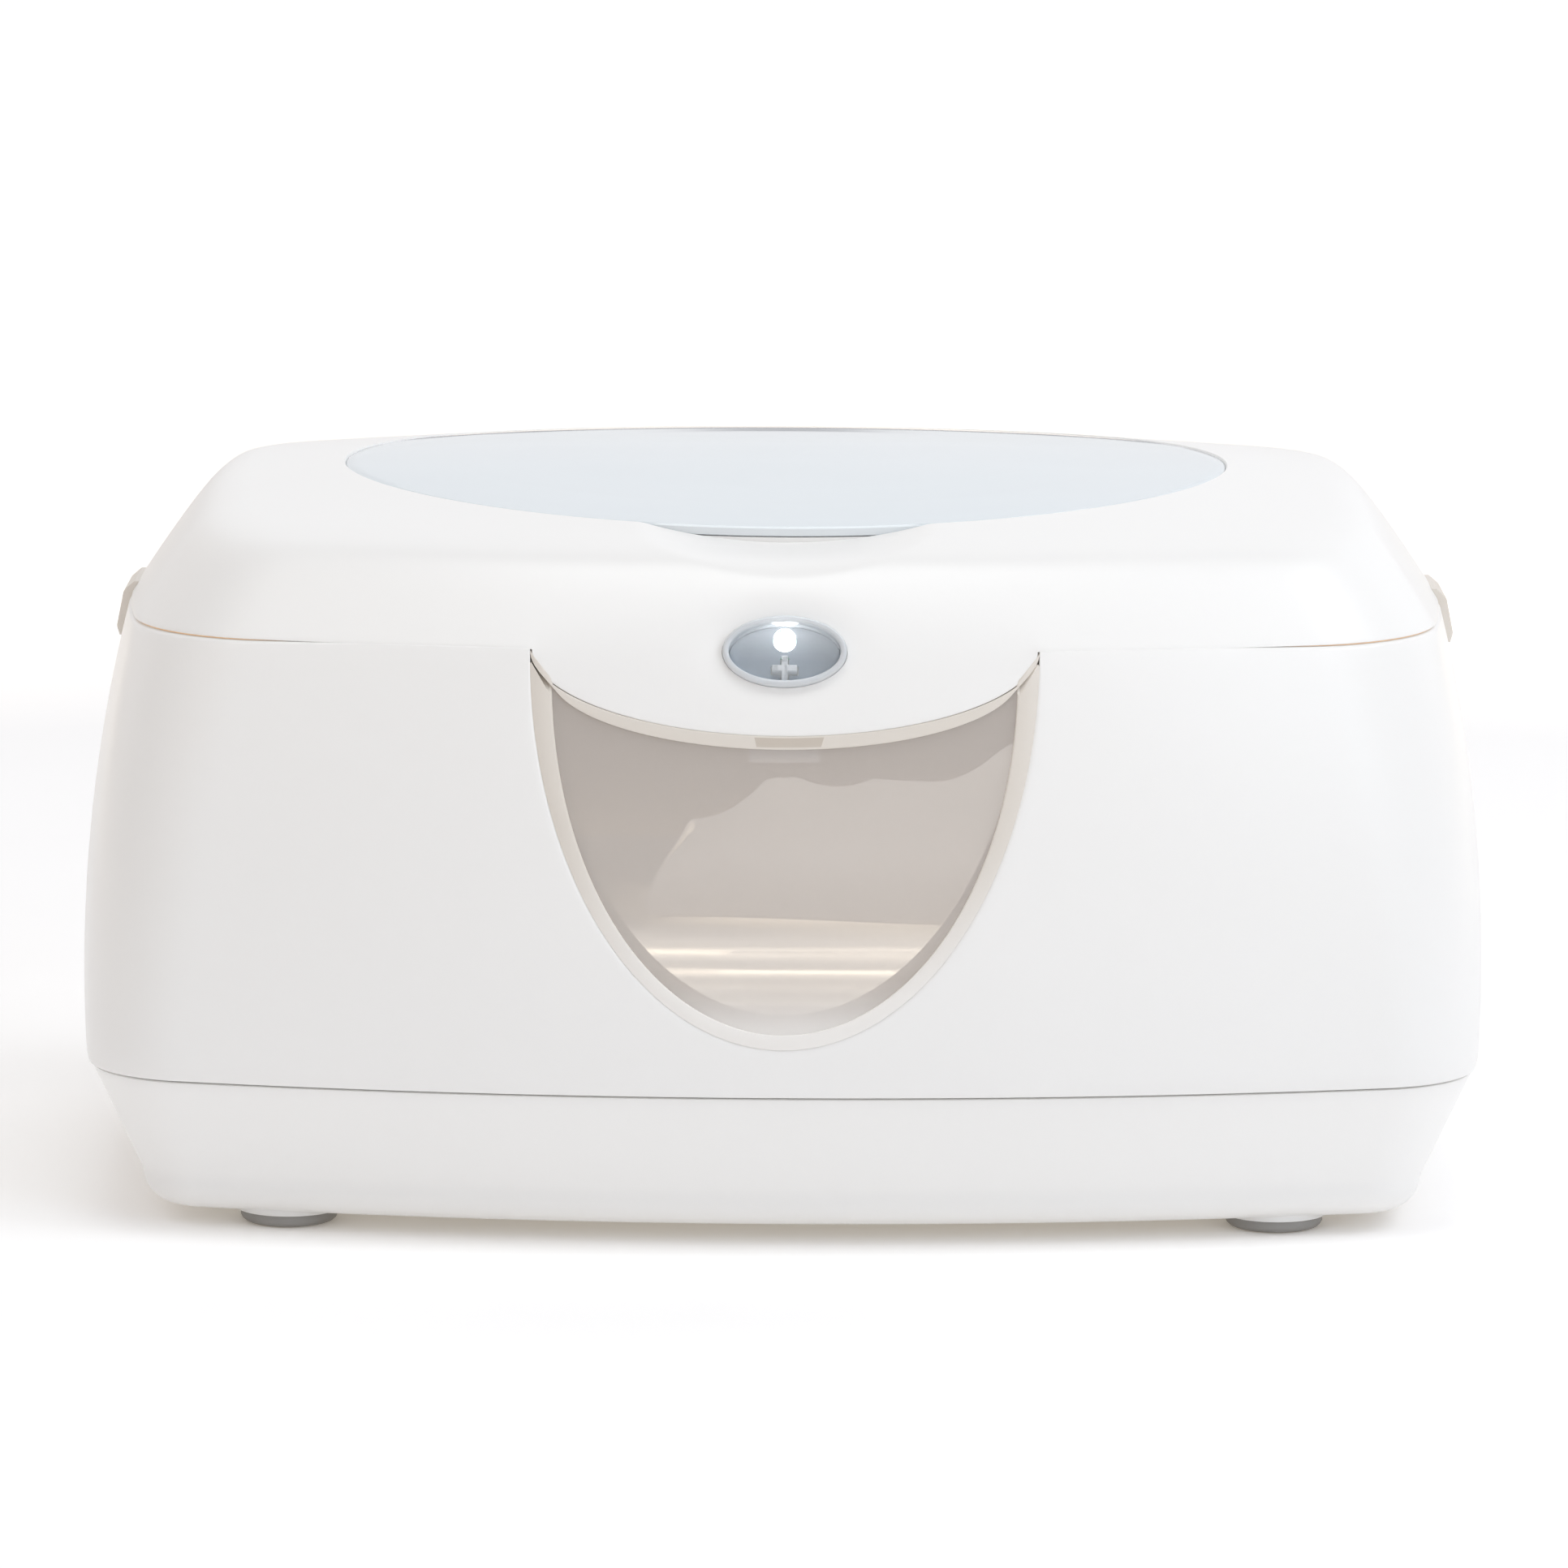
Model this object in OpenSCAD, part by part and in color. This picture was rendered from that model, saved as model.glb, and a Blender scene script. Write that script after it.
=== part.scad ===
// Baby wipe warmer: a bowed oblong box with a hinged, domed lid.
// Millimetres, +Z up, X to the right, -Y to the front.
// The origin is on the table under the middle of the body.

/* [Body] */
// Width at the widest level
body_w = 292.8; // [286:0.1:300]
// Depth at the widest level
body_d = 198; // [194:0.5:206]
// Height of the widest level
belly_z = 48; // [45:1:55]
// Radius of the bowed flanks, seen from the front
flank_r = 287; // [270:1:320]
// Plan radius of the front and back at the base seam
front_r_low = 560; // [500:5:620]
// Plan radius of the front and back at the lid seam
front_r_high = 405; // [390:5:480]
// Plan radius of the sides at the base seam
side_r_low = 500; // [400:5:600]
// Plan radius of the sides at the lid seam
side_r_high = 320; // [250:5:380]
// Corner radius at the base seam
corner_r_low = 25; // [22:0.5:28]
// Corner radius at the lid seam
corner_r_high = 36; // [32:0.5:39]

/* [Levels] */
// Underside of the base pan above the table
foot_gap = 3.6; // [3.2:0.1:5]
// Height of the base pan
pan_h = 29.1; // [27:0.1:30]
// Height of the outer casing
casing_h = 88.6; // [86:0.2:92]
// Gap between the base pan and the casing
pan_seam_gap = 0.4; // [0.2:0.1:0.6]
// Gap between the casing and the lid
lid_seam_gap = 0.7; // [0.5:0.1:1]
// Height of the lid's crown above its seam
lid_h = 29.5; // [28:0.5:31]

/* [Walls] */
// Wall of the casing
casing_t = 2.5; // [2.2:0.1:3]
// Wall of the base pan
pan_t = 2.5; // [2.2:0.1:3]
// Wall of the lid
lid_t = 2.4; // [2:0.1:2.8]
// Wall of the inner tub
tub_t = 2; // [1.6:0.1:2.4]
// Lean of the base pan's sides, width lost per unit of height
pan_lean = 0.46; // [0.42:0.01:0.5]
// Step in from the casing to the base pan
pan_step = 0.8; // [0.4:0.1:1.2]
// Rounding of the base pan's lower edge
pan_edge_r = 7; // [5:0.5:8]

/* [Front window] */
// Half-width of the window cut-out in the casing
window_hw = 51; // [48:0.5:53]
// Depth of the window cut-out below the casing's top
window_depth = 79.3; // [70:0.1:80]
// Gap around the window
window_gap = 0.3; // [0.2:0.05:0.5]
// Drop of the lid's tongue over the window
tongue_drop = 16.5; // [15:0.5:18]
// Gap under the tongue
tongue_gap = 0.8; // [0.6:0.1:1.2]
// Width of the shelf behind the window's top edge
shelf_w = 7; // [6:0.5:8]

/* [Lid surface] */
// Extra lean of the lid's flanks, width lost per unit of height
lid_lean = 0.38; // [0.34:0.01:0.42]
// Softness of the shoulder between flank and crown
shoulder_k = 5; // [4:0.5:7]
// Distance of the crown's summit behind the middle
crown_back = 15; // [10:1:20]
// Fall of the crown from its summit over a depth of crown_span
crown_fall = 7.7; // [7:0.1:8.5]
// Depth over which the crown falls
crown_span = 75; // [72:1:80]
// Fall of the crown towards each end of the lens
crown_side_fall = 2.4; // [2:0.1:3]
// Half-length of the oval lens
lens_a = 92.5; // [88:0.5:95]
// Half-width of the oval lens
lens_b = 62; // [58:0.5:64]
// Thickness of the lens
lens_t = 2; // [1.6:0.1:2.4]
// Gap around and under the lens
lens_gap = 0.3; // [0.2:0.05:0.5]
// Half-width of the finger scoop in front of the lens
scoop_hw = 29.5; // [26:0.5:32]
// Length of the finger scoop, front to back
scoop_len = 18.5; // [15:0.5:19]
// Depth of the finger scoop
scoop_depth = 3.2; // [2.5:0.1:3.6]

/* [Tub] */
// Gap between tub and casing wall at the flange
flange_gap = 0.3; // [0.2:0.05:0.5]
// Height of the flange's underside below the casing's top
flange_seat = 2.9; // [2.6:0.1:3.4]
// Thickness of the flange
flange_t = 2; // [1.8:0.1:2.4]
// Width of the casing's ledge that carries the flange
ledge_w = 3; // [2.5:0.1:3.5]
// Height of the ledge
ledge_h = 3; // [2.5:0.1:4]
// Set-back of the tub wall from the casing's outside at the flange
tub_in_top = 9; // [8.5:0.1:10]
// Set-back of the tub wall from the casing's outside at the floor
tub_in_floor = 27; // [25:0.5:29]
// Underside of the tub floor above the table
tub_floor_z = 35.2; // [34.2:0.1:37]
// Half-width of the grip ears, front to back
ear_hw = 14; // [12:0.5:16]
// Thickness of the grip ears
ear_t = 2; // [2:0.1:2.8]
// Top of the ears above the casing's top
ear_up = 4.5; // [3.5:0.1:5]
// Bottom of the ears below the casing's top
ear_down = 9; // [8:0.5:10]
// Gap between the ears and their neighbours
ear_gap = 0.3; // [0.3:0.05:0.6]

/* [Wipes] */
// Half-width of the folded wipes
wipes_hw = 95; // [90:1:98]
// Half-depth of the folded wipes
wipes_hd = 54; // [50:1:56]
// Height of the folded wipes
wipes_h = 24; // [15:1:40]
// Corner radius of the folded wipes
wipes_r = 8; // [5:1:12]

/* [Feet] */
// Foot diameter
foot_d = 20; // [18:0.5:21]
// Foot centre to the body's end
foot_in_x = 45.4; // [43:0.1:50]
// Foot centre to the body's front or back
foot_in_y = 36.5; // [36:0.5:41]
// Rounding of the foot's lower edge
foot_edge = 1; // [0.5:0.1:1.2]
// Diameter of the foot's plug
foot_plug_d = 7; // [6:0.5:8]
// Width of the white collar around each foot's top
foot_collar = 1; // [0.6:0.1:1.4]

/* [Hinge] */
// Hinge axis to the body's back
hinge_in = 6.6; // [5.6:0.1:6.8]
// Radius of the hinge knuckles
knuckle_r = 4; // [3.7:0.1:4.2]
// Diameter of the hinge pins
hinge_pin_d = 3; // [2.5:0.1:3.5]
// Running clearance around the pins, on the radius
hinge_fit = 0.05; // [0.02:0.01:0.08]
// Inner end of each hinge
hinge_x = 52; // [51:1:56]
// Width of each casing knuckle
casing_knuckle_w = 7; // [6:0.5:8]
// Width of each lid knuckle
lid_knuckle_w = 12; // [10:0.5:14]
// Side gap between knuckles
knuckle_gap = 0.3; // [0.2:0.05:0.5]

/* [Button] */
// Backward tilt of the button's face from upright
button_tilt = 20; // [16:1:24]
// Height of the button's centre below the lid's seam
button_down = 0.2; // [-0.8:0.1:1.2]
// Half-length of the button's bezel
bezel_a = 12.5; // [12:0.1:13]
// Half-height of the button's bezel
bezel_b = 7.25; // [7:0.05:7.5]
// Width of the bezel's rim
bezel_rim = 1.3; // [1.1:0.1:1.5]
// Gap between the button and its bezel
button_gap = 0.25; // [0.15:0.05:0.4]
// Travel of the button
button_travel = 2.5; // [2:0.1:2.6]
// Thickness of the button's cap
cap_t = 2.4; // [2:0.1:2.6]
// Reach of the button's stem behind its face
stem_len = 11; // [10.5:0.1:11.5]
// Span of the stem's cross
stem_span = 5; // [4.6:0.1:5.2]
// Thickness of the cross's arms
stem_t = 1.2; // [1:0.1:1.4]
// Diameter of the light's dome
led_d = 5; // [4.6:0.1:5]

/* [Latch] */
// Height of the latch pivot above the button's centre
latch_up = 7.8; // [7.5:0.1:8.2]
// Diameter of the latch pin
latch_pin_d = 2.4; // [2:0.1:2.6]
// Radius of the latch's boss
latch_boss_r = 2.8; // [2.5:0.1:3]
// Width of the latch hook
hook_w = 14; // [12:0.5:15]
// Thickness of the hook's shank
hook_t = 2; // [1.8:0.1:2.2]
// Gap between the stem and the shank
stem_gap = 0.4; // [0.3:0.05:0.6]
// Width of the strike slot in the window's top shelf
strike_w = 17; // [16:0.5:19]
// Depth of solid shelf in front of the slot
strike_lip = 4.5; // [4:0.1:5]
// Gap between the nose and the strike, front to back
nose_gap = 1; // [0.9:0.1:1.3]
// Height of the hook's nose
nose_h = 3; // [2.5:0.1:3.5]
// Wire of the latch spring
spring_wire_d = 0.7; // [0.5:0.05:0.8]
// Turns of the latch spring
spring_turns = 4; // [3:1:5]

/* [Heater] */
// Half-width of the aluminium heater plate
plate_hw = 88; // [80:1:90]
// Half-depth of the aluminium heater plate
plate_hd = 50; // [46:1:52]
// Thickness of the heater plate
plate_t = 1; // [0.8:0.1:1.2]
// Thickness of the heater film
film_t = 0.5; // [0.4:0.1:0.8]
// Thickness of the insulation
pad_t = 6; // [5:0.5:7]
// Thickness of the lid liner
liner_t = 1.8; // [1.6:0.1:2]
// Underside of the liner above the lid seam
liner_up = 2.6; // [2.4:0.1:3]
// Height of the gasket lip
gasket_h = 6; // [5:0.5:7]
// Thickness of the gasket lip
gasket_t = 2; // [1.6:0.1:2.4]

/* [Electrics] */
// Distance of the power inlet from the middle
jack_x = 70; // [60:1:75]
// Height of the power inlet above the table
jack_z = 46.2; // [44.2:0.1:50]
// Bore of the power inlet
jack_bore_d = 5.6; // [5.5:0.1:6.4]
// Outside diameter of the inlet's barrel
jack_barrel_d = 9; // [8.6:0.1:10]
// Diameter of the inlet's centre pin
jack_pin_d = 2.1; // [1.9:0.1:2.5]
// Length of the control board
board_l = 64; // [56:1:70]
// Width of the control board
board_w = 40; // [36:1:44]
// Screw holes to the board's edges
board_edge = 4; // [3.5:0.1:5]
// Thickness of the control board
board_t = 1.6; // [1.2:0.1:1.8]
// Outside diameter of the leads
lead_d = 3; // [2.6:0.1:3.4]

/* [Screws] */
// Diameter of the screws' shanks
screw_d = 3; // [2.6:0.1:3.2]
// Diameter of the screws' heads
screw_head_d = 5.8; // [5.4:0.1:6.2]
// Height of the screws' heads
screw_head_h = 2.2; // [1.8:0.1:2.4]
// Outside diameter of the screw bosses
boss_d = 9; // [8.5:0.1:9.5]
// Depth of thread in a boss
thread_len = 10; // [8:0.5:12]
// Gap around a screw, on the radius
screw_gap = 0.1; // [0.05:0.01:0.2]
// Set-back of the corner screws from the body's outside
post_in = 21; // [20:0.5:22]

/* [Hidden] */
$fn = 48;
// Smallest step between two surfaces that must not meet
eps = 0.01;
// How far a boss is sunk into its wall, and how far a cut runs past the face that it opens
bite = 1;
// Diameter of the clearance hole around a screw
screw_hole_d = screw_d + 4 * screw_gap;
// Diameter of the hole that a screw's thread bites into
thread_hole_d = screw_d + 2 * screw_gap;

pan_z0 = foot_gap;
pan_z1 = pan_z0 + pan_h;
casing_z0 = pan_z1 + pan_seam_gap;
casing_z1 = casing_z0 + casing_h;
lid_z = casing_z1 + lid_seam_gap;
button_z = lid_z - button_down;
flange_z = casing_z1 - flange_seat;
hinge_y = body_d / 2 - hinge_in;
hinge_z = casing_z1 + lid_seam_gap / 2;
foot_x = body_w / 2 - foot_in_x;
foot_y = body_d / 2 - foot_in_y;

// Plan outlines: each ring has 4 * quad_n points, counted from the front's middle towards +X
notch_n = 7;
arc_n = 2;
corner_n = 4;
side_n = 3;
quad_n = notch_n + arc_n + corner_n + side_n;
ring_n = 4 * quad_n;

function lerp(a, b, t) = a + (b - a) * t;
// Share of the way from the base seam to the lid seam
function rise(z) = (z - pan_z1) / (lid_z - pan_z1);
// Half-width and half-depth of the body's outside at height z
function half_w(z) = body_w / 2 - pow(z - belly_z, 2) / (2 * flank_r);
function half_d(z) = body_d / 2 - pow(z - belly_z, 2) / (2 * flank_r);
function front_r(z) = lerp(front_r_low, front_r_high, min(1, rise(z)));
function side_r(z) = lerp(side_r_low, side_r_high, min(1, rise(z)));
function corner_r(z) = lerp(corner_r_low, corner_r_high, min(1, max(0, rise(z))));

// Centre of the corner circle that touches the front arc and the side arc from inside
function corner_centre(a, b, rf, rs, rc) =
  let (c1 = [0, rf - b], c2 = [a - rs, 0], r1 = rf - rc, r2 = rs - rc,
       d = norm(c2 - c1), u = (c2 - c1) / d,
       s = (d * d + r1 * r1 - r2 * r2) / (2 * d), h = sqrt(r1 * r1 - s * s))
  c1 + s * u + h * [-u[1], u[0]];

// Front-right quadrant, point i, of an outline set in by d at height z
corner_min = 4;
function quad_point(i, z, d, hw) =
  let (a = half_w(z) - d, b = half_d(z) - d, rf = front_r(z) - d, rs = side_r(z) - d,
       rc = max(corner_min, corner_r(z) - d), c = corner_centre(a, b, rf, rs, rc),
       t1 = [c[0], c[1] - rf + b] * rf / (rf - rc) + [0, rf - b],
       t2 = [c[0] - a + rs, c[1]] * rs / (rs - rc) + [a - rs, 0],
       g1 = atan2(t1[1] - c[1], t1[0] - c[0]), g2 = atan2(t2[1] - c[1], t2[0] - c[0]),
       k = i - notch_n - arc_n)
  i <= notch_n + arc_n
    ? let (x = i <= notch_n ? hw * sin(90 * i / notch_n)
                            : lerp(hw, t1[0], (i - notch_n) / arc_n))
      [x, rf - b - sqrt(rf * rf - x * x)]
    : k <= corner_n
      ? c + rc * [cos(lerp(g1, g2, k / corner_n)), sin(lerp(g1, g2, k / corner_n))]
      : let (g = lerp(asin(t2[1] / rs), 0, (k - corner_n) / side_n))
        [a - rs + rs * cos(g), rs * sin(g)];

// Index of ring point k within its quadrant, and the signs of its x and y
function fold(k) = k <= quad_n ? k : k <= 2 * quad_n ? 2 * quad_n - k
                 : k <= 3 * quad_n ? k - 2 * quad_n : ring_n - k;
function sign_x(k) = k <= 2 * quad_n ? 1 : -1;
function sign_y(k) = k > quad_n && k < 3 * quad_n ? -1 : 1;
function in_front(k) = sign_y(k) > 0 && fold(k) < notch_n;
// Fall of the half-oval front edge at ring point k
function drop(k, depth) = in_front(k) ? depth * cos(90 * fold(k) / notch_n) : 0;

function ring_point(k, z, d = 0, hw = window_hw) =
  let (q = quad_point(fold(k), z, d, hw)) [sign_x(k) * q[0], sign_y(k) * q[1], z];
// Flat outline at height z, set in by d, as a 2D shape
module outline(z, d) {
  polygon([for (k = [0:ring_n - 1]) let (p = ring_point(k, z, d)) [p[0], p[1]]]);
}

// Solid through a stack of rings, either closed round on itself or capped at both ends;
// flip turns the faces over, for a stack that starts at its top
module loft(rings, round = false, low = 0, high = 0, flip = false) {
  n = len(rings[0]);
  m = len(rings);
  bands = [for (j = [0:m - (round ? 1 : 2)], k = [0:n - 1])
    let (a = j * n + k, b = j * n + (k + 1) % n, jj = (j + 1) % m,
         c = jj * n + (k + 1) % n, d = jj * n + k)
    each [[a, c, b], [a, d, c]]];
  caps = round ? [] : [for (k = [0:n - 1])
    each [[m * n, k, (k + 1) % n],
          [m * n + 1, (m - 1) * n + (k + 1) % n, (m - 1) * n + k]]];
  points = concat([for (r = rings) each r], round ? [] : [low, high]);
  faces = concat(bands, caps);
  polyhedron(points, flip ? [for (f = faces) [f[0], f[2], f[1]]] : faces, convexity = 12);
}

// Crown of the lid, and the finger scoop, which starts just under the lens's edge
function crown(x, y) = lid_z + lid_h
  - crown_fall * pow((y - crown_back) / crown_span, 2)
  - crown_side_fall * pow(x / lens_a, 2);
function scoop(x, y) = scoop_depth
  * max(0, 1 - pow(x / scoop_hw, 2) - pow((-y - lens_b + bite) / scoop_len, 2));
function soft_min(a, b, k) = (a + b - sqrt((a - b) * (a - b) + k * k)) / 2;

// Lid flank and shoulder: q is the height along the flank from the seam, s the depth under the skin
tongue_hw = window_hw - lid_seam_gap;
// Height over which the tongue's upright face bends back into the flank
tongue_bend = 6;
function flank_in(k, q) = lid_lean * (q + sqrt(q * q + pow(drop(k, tongue_bend), 2))) / 2;
function lid_point(k, q, s) =
  let (p = ring_point(k, lid_z + q, flank_in(k, q) + s, tongue_hw - s),
       z = soft_min(lid_z + q, crown(p[0], p[1]) - s, shoulder_k))
  [p[0], p[1], z - scoop(p[0], p[1])];
lid_top_q = 33;
function lid_row(f, s) = [for (k = [0:ring_n - 1])
  let (q0 = -drop(k, tongue_drop)) lid_point(k, lerp(q0, lid_top_q, f), s)];
// Rings on the crown: t = 1 is the lens oval of size factor g, t = 0 the shoulder
function lens_point(k, g) =
  let (p = lid_point(k, lid_top_q, 0), u = atan2(p[1] / lens_b, p[0] / lens_a))
  [g * lens_a * cos(u), g * lens_b * sin(u)];
function crown_point(k, t, g, s, dip) =
  let (p = lid_point(k, lid_top_q, s), o = lens_point(k, g),
       x = lerp(p[0], o[0], t), y = lerp(p[1], o[1], t))
  [x, y, lerp(soft_min(lid_z + lid_top_q, crown(x, y) - s, shoulder_k), crown(x, y) - s, t)
         - max(scoop(x, y), dip)];
function crown_row(t, g, s, dip = 0) = [for (k = [0:ring_n - 1]) crown_point(k, t, g, s, dip)];
lens_seat = lens_t + lens_gap;
function seat_row(g, s) = [for (k = [0:ring_n - 1])
  let (o = lens_point(k, g)) [o[0], o[1], crown(o[0], o[1]) - lens_seat - s]];

// Frame of the button: X along its oval, Y up its face, Z out of it
button_set_back = 1.4;
button_y = -(half_d(button_z) - button_set_back);
module on_button() {
  translate([0, button_y, button_z]) rotate([90 - button_tilt, 0, 0]) children();
}
// Upright position of a point at height v up the button's face and depth n behind it
function button_back(v, n) = button_y + n * cos(button_tilt) + v * sin(button_tilt);
function button_level(v, n) = button_z - n * sin(button_tilt) + v * cos(button_tilt);
module oval(a, b) {
  polygon([for (i = [0:$fn - 1]) [a * cos(i * 360 / $fn), b * sin(i * 360 / $fn)]]);
}
module oval_plug(a, b, z0, z1) {
  translate([0, 0, z0]) linear_extrude(z1 - z0) oval(a, b);
}

module mirrored_x() {
  children();
  mirror([1, 0, 0]) children();
}
module four_corners(x, y) {
  for (sx = [-1, 1], sy = [-1, 1]) translate([sx * x, sy * y, 0]) children();
}
// Solid cylinder along X from x0 to x1, centred on y, z
module bar_x(r, x0, x1, y, z) {
  translate([x0, y, z]) rotate([0, 90, 0]) cylinder(r = r, h = x1 - x0);
}
module slab(x, y, z) {
  translate([x[0], y[0], z[0]]) cube([x[1] - x[0], y[1] - y[0], z[1] - z[0]]);
}

// Sweep of a round wire or lead along a path, with rings square to it; side is never along the path
function spline(p, n) = [for (i = [0:len(p) - 2], j = [0:n - 1])
  let (a = p[max(0, i - 1)], b = p[i], c = p[i + 1], d = p[min(len(p) - 1, i + 2)], t = j / n)
  0.5 * (2 * b + (c - a) * t + (2 * a - 5 * b + 4 * c - d) * t * t
         + (3 * b - a - 3 * c + d) * t * t * t), p[len(p) - 1]];
module tube(path, d, side, sides = 8) {
  m = len(path);
  rings = [for (i = [0:m - 1])
    let (dir = path[min(m - 1, i + 1)] - path[max(0, i - 1)], w = dir / norm(dir),
         u0 = cross(side, w), u = u0 / norm(u0), v = cross(w, u))
    [for (k = [0:sides - 1]) let (g = 360 * k / sides)
      path[i] + d / 2 * (cos(g) * u + sin(g) * v)]];
  loft(rings, low = path[0], high = path[m - 1]);
}

// Corner of the outline at set-back post_in, where the casing is screwed down
post = quad_point(notch_n + arc_n + corner_n / 2, pan_z1, post_in, window_hw);
pan_floor_z = pan_z0 + pan_t;
// Depth of plastic between a base screw's head and the base seam
screw_seat_t = 6;
screw_seat_z = pan_z1 - screw_seat_t;
post_z1 = casing_z0 + thread_len;
// Thread left free ahead of a screw's point
screw_end_gap = 2;

// Step down from the pan's underside to the collar that a foot is seated in
collar_h = 0.8;
foot_z1 = pan_z0 - collar_h;
plug_r = foot_plug_d / 2;
// Height of the plug's tip above the pan's floor
plug_tip = 2;

board_x = 30;
board_post_h = 5.5;
board_z = pan_floor_z + board_post_h;
board_post_d = 6;
board_screw_d = 2.5;
board_hole_d = board_screw_d + 2 * screw_gap;
board_top = board_z + board_t;
module board_holes() {
  for (sx = [-1, 1], sy = [-1, 1])
    translate([board_x + sx * (board_l / 2 - board_edge), sy * (board_w / 2 - board_edge), 0])
      children();
}

// Base pan: leaning sides, rounded lower edge, screw tubes and a collar for each foot
function pan_in(z) = pan_step + pan_lean * (pan_z1 - z);
function pan_row(z, d) = [for (k = [0:ring_n - 1])
  let (p = ring_point(k, pan_z1, pan_in(z) + d)) [p[0], p[1], z]];
function pan_edge(g, z0, d) = let (z = z0 + pan_edge_r * (1 - sin(g)))
  [for (k = [0:ring_n - 1])
    let (p = ring_point(k, pan_z1, pan_in(pan_z0 + pan_edge_r) + pan_edge_r * (1 - cos(g)) + d))
    [p[0], p[1], z]];

module base_pan() {
  edge_z = pan_z0 + pan_edge_r;
  outer = concat([for (g = [90, 60, 30]) pan_edge(g, pan_z0, 0)],
                 [for (f = [0, 0.5, 1]) pan_row(lerp(edge_z, pan_z1, f), 0)]);
  inner = concat([for (f = [1, 0.5, 0]) pan_row(lerp(edge_z + pan_t, pan_z1, f), pan_t)],
                 [for (g = [45, 90]) pan_edge(g, pan_floor_z, pan_t)]);
  color("white") difference() {
    union() {
      loft(concat(outer, inner), low = [0, 0, pan_z0], high = [0, 0, pan_floor_z]);
      four_corners(foot_x, foot_y) translate([0, 0, foot_z1])
        cylinder(d = foot_d + 2 * foot_collar, h = pan_floor_z - foot_z1);
      four_corners(post[0], post[1]) translate([0, 0, pan_floor_z - bite])
        cylinder(d = boss_d, h = pan_z1 - pan_floor_z + bite);
      board_holes() translate([0, 0, pan_floor_z - bite])
        cylinder(d = board_post_d, h = board_post_h + bite);
    }
    four_corners(foot_x, foot_y) translate([0, 0, foot_z1 - bite])
      cylinder(r = plug_r + screw_gap, h = pan_floor_z - foot_z1 + 2 * bite);
    four_corners(post[0], post[1]) {
      translate([0, 0, pan_z0 - bite])
        cylinder(d = screw_head_d + 4 * screw_gap, h = screw_seat_z - pan_z0 + bite);
      translate([0, 0, pan_z0]) cylinder(d = screw_hole_d, h = pan_h + bite);
    }
    board_holes() translate([0, 0, pan_floor_z]) cylinder(d = board_hole_d, h = board_z);
  }
}

// Rubber foot with a plug that pushes into the base pan
module foot(sx, sy) {
  color("darkgray") translate([sx * foot_x, sy * foot_y, 0]) rotate_extrude()
    polygon([[0, 0], [foot_d / 2 - foot_edge, 0], [foot_d / 2 - foot_edge * 0.3, foot_edge * 0.3],
             [foot_d / 2, foot_edge], [foot_d / 2, foot_z1], [plug_r, foot_z1],
             [plug_r, pan_floor_z + plug_tip / 2], [plug_r - plug_tip / 2, pan_floor_z + plug_tip],
             [0, pan_floor_z + plug_tip]]);
}
module foot_front_left() foot(-1, -1);
module foot_front_right() foot(1, -1);
module foot_rear_left() foot(-1, 1);
module foot_rear_right() foot(1, 1);

// Pan-head screw, point up, with its head's seat at z
module screw_up(z, d, head_d, head_h, len) {
  translate([0, 0, z]) rotate_extrude()
    polygon([[0, -head_h], [head_d / 2 - head_h * 0.4, -head_h], [head_d / 2, -head_h * 0.5],
             [head_d / 2, 0], [d / 2, 0], [d / 2, len - d / 2], [0, len]]);
}
module base_screws() {
  color("silver") four_corners(post[0], post[1])
    screw_up(screw_seat_z, screw_d, screw_head_d, screw_head_h,
             post_z1 - screw_end_gap - screw_seat_z);
}

// Outer casing: a bowed tube with the half-oval window cut into its front edge
function casing_row(z, d) = [for (k = [0:ring_n - 1])
  let (f = (z - casing_z0) / casing_h,
       ledge = in_front(k) || (sign_y(k) > 0 && fold(k) == notch_n) ? 0 : max(0, d - casing_t))
  ring_point(k, casing_z0 + f * (casing_h - drop(k, window_depth)), min(d, casing_t + ledge))];
ledge_z = flange_z - ledge_h;
// Outside of the rear wall at distance x from the middle and height z
function rear_y(x, z) = half_d(z) - front_r(z) + sqrt(pow(front_r(z), 2) - x * x);
inlet_wall_y = rear_y(jack_x, jack_z);
// Half-size and thickness of the pad that the inlet is seated on, inside the rear wall
inlet_pad = 7.5;
inlet_pad_t = 2.5;
inlet_pad_y = inlet_wall_y - casing_t - inlet_pad_t;
// Thickness of the web from each screw post to the corner of the wall
post_web_t = 2;

// Height of the web under a casing knuckle, and the slope at which it meets the knuckle
web_h = 14;
web_slope = 20;
// Depth of a knuckle's web below the casing's top edge, or above the lid's lower edge
web_step = 0.4;
module knuckle_web(x0, w, points) {
  translate([x0, 0, 0]) rotate([90, 0, 90]) linear_extrude(w) polygon(points);
}
module casing_knuckle(x0) {
  y = rear_y(x0 + casing_knuckle_w / 2, casing_z1) - casing_t / 2;
  bar_x(knuckle_r, x0, x0 + casing_knuckle_w, hinge_y, hinge_z);
  knuckle_web(x0, casing_knuckle_w,
    [[y, casing_z1 - web_step], [y, casing_z1 - web_h],
     [y + casing_t / 2 + web_step, casing_z1 - web_h],
     [hinge_y + knuckle_r * cos(web_slope), hinge_z - knuckle_r * sin(web_slope)],
     [hinge_y, casing_z1 - web_step]]);
}
lid_knuckle_x = hinge_x + casing_knuckle_w + knuckle_gap;
outer_knuckle_x = lid_knuckle_x + lid_knuckle_w + knuckle_gap;
hinge_x1 = outer_knuckle_x + casing_knuckle_w;

// Room for a grip ear, from height z0 to z1
module ear_notch(z0, z1) {
  slab([half_w(casing_z1) - tub_in_top, body_w / 2], [-ear_hw - ear_gap, ear_hw + ear_gap], [z0, z1]);
}

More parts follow.
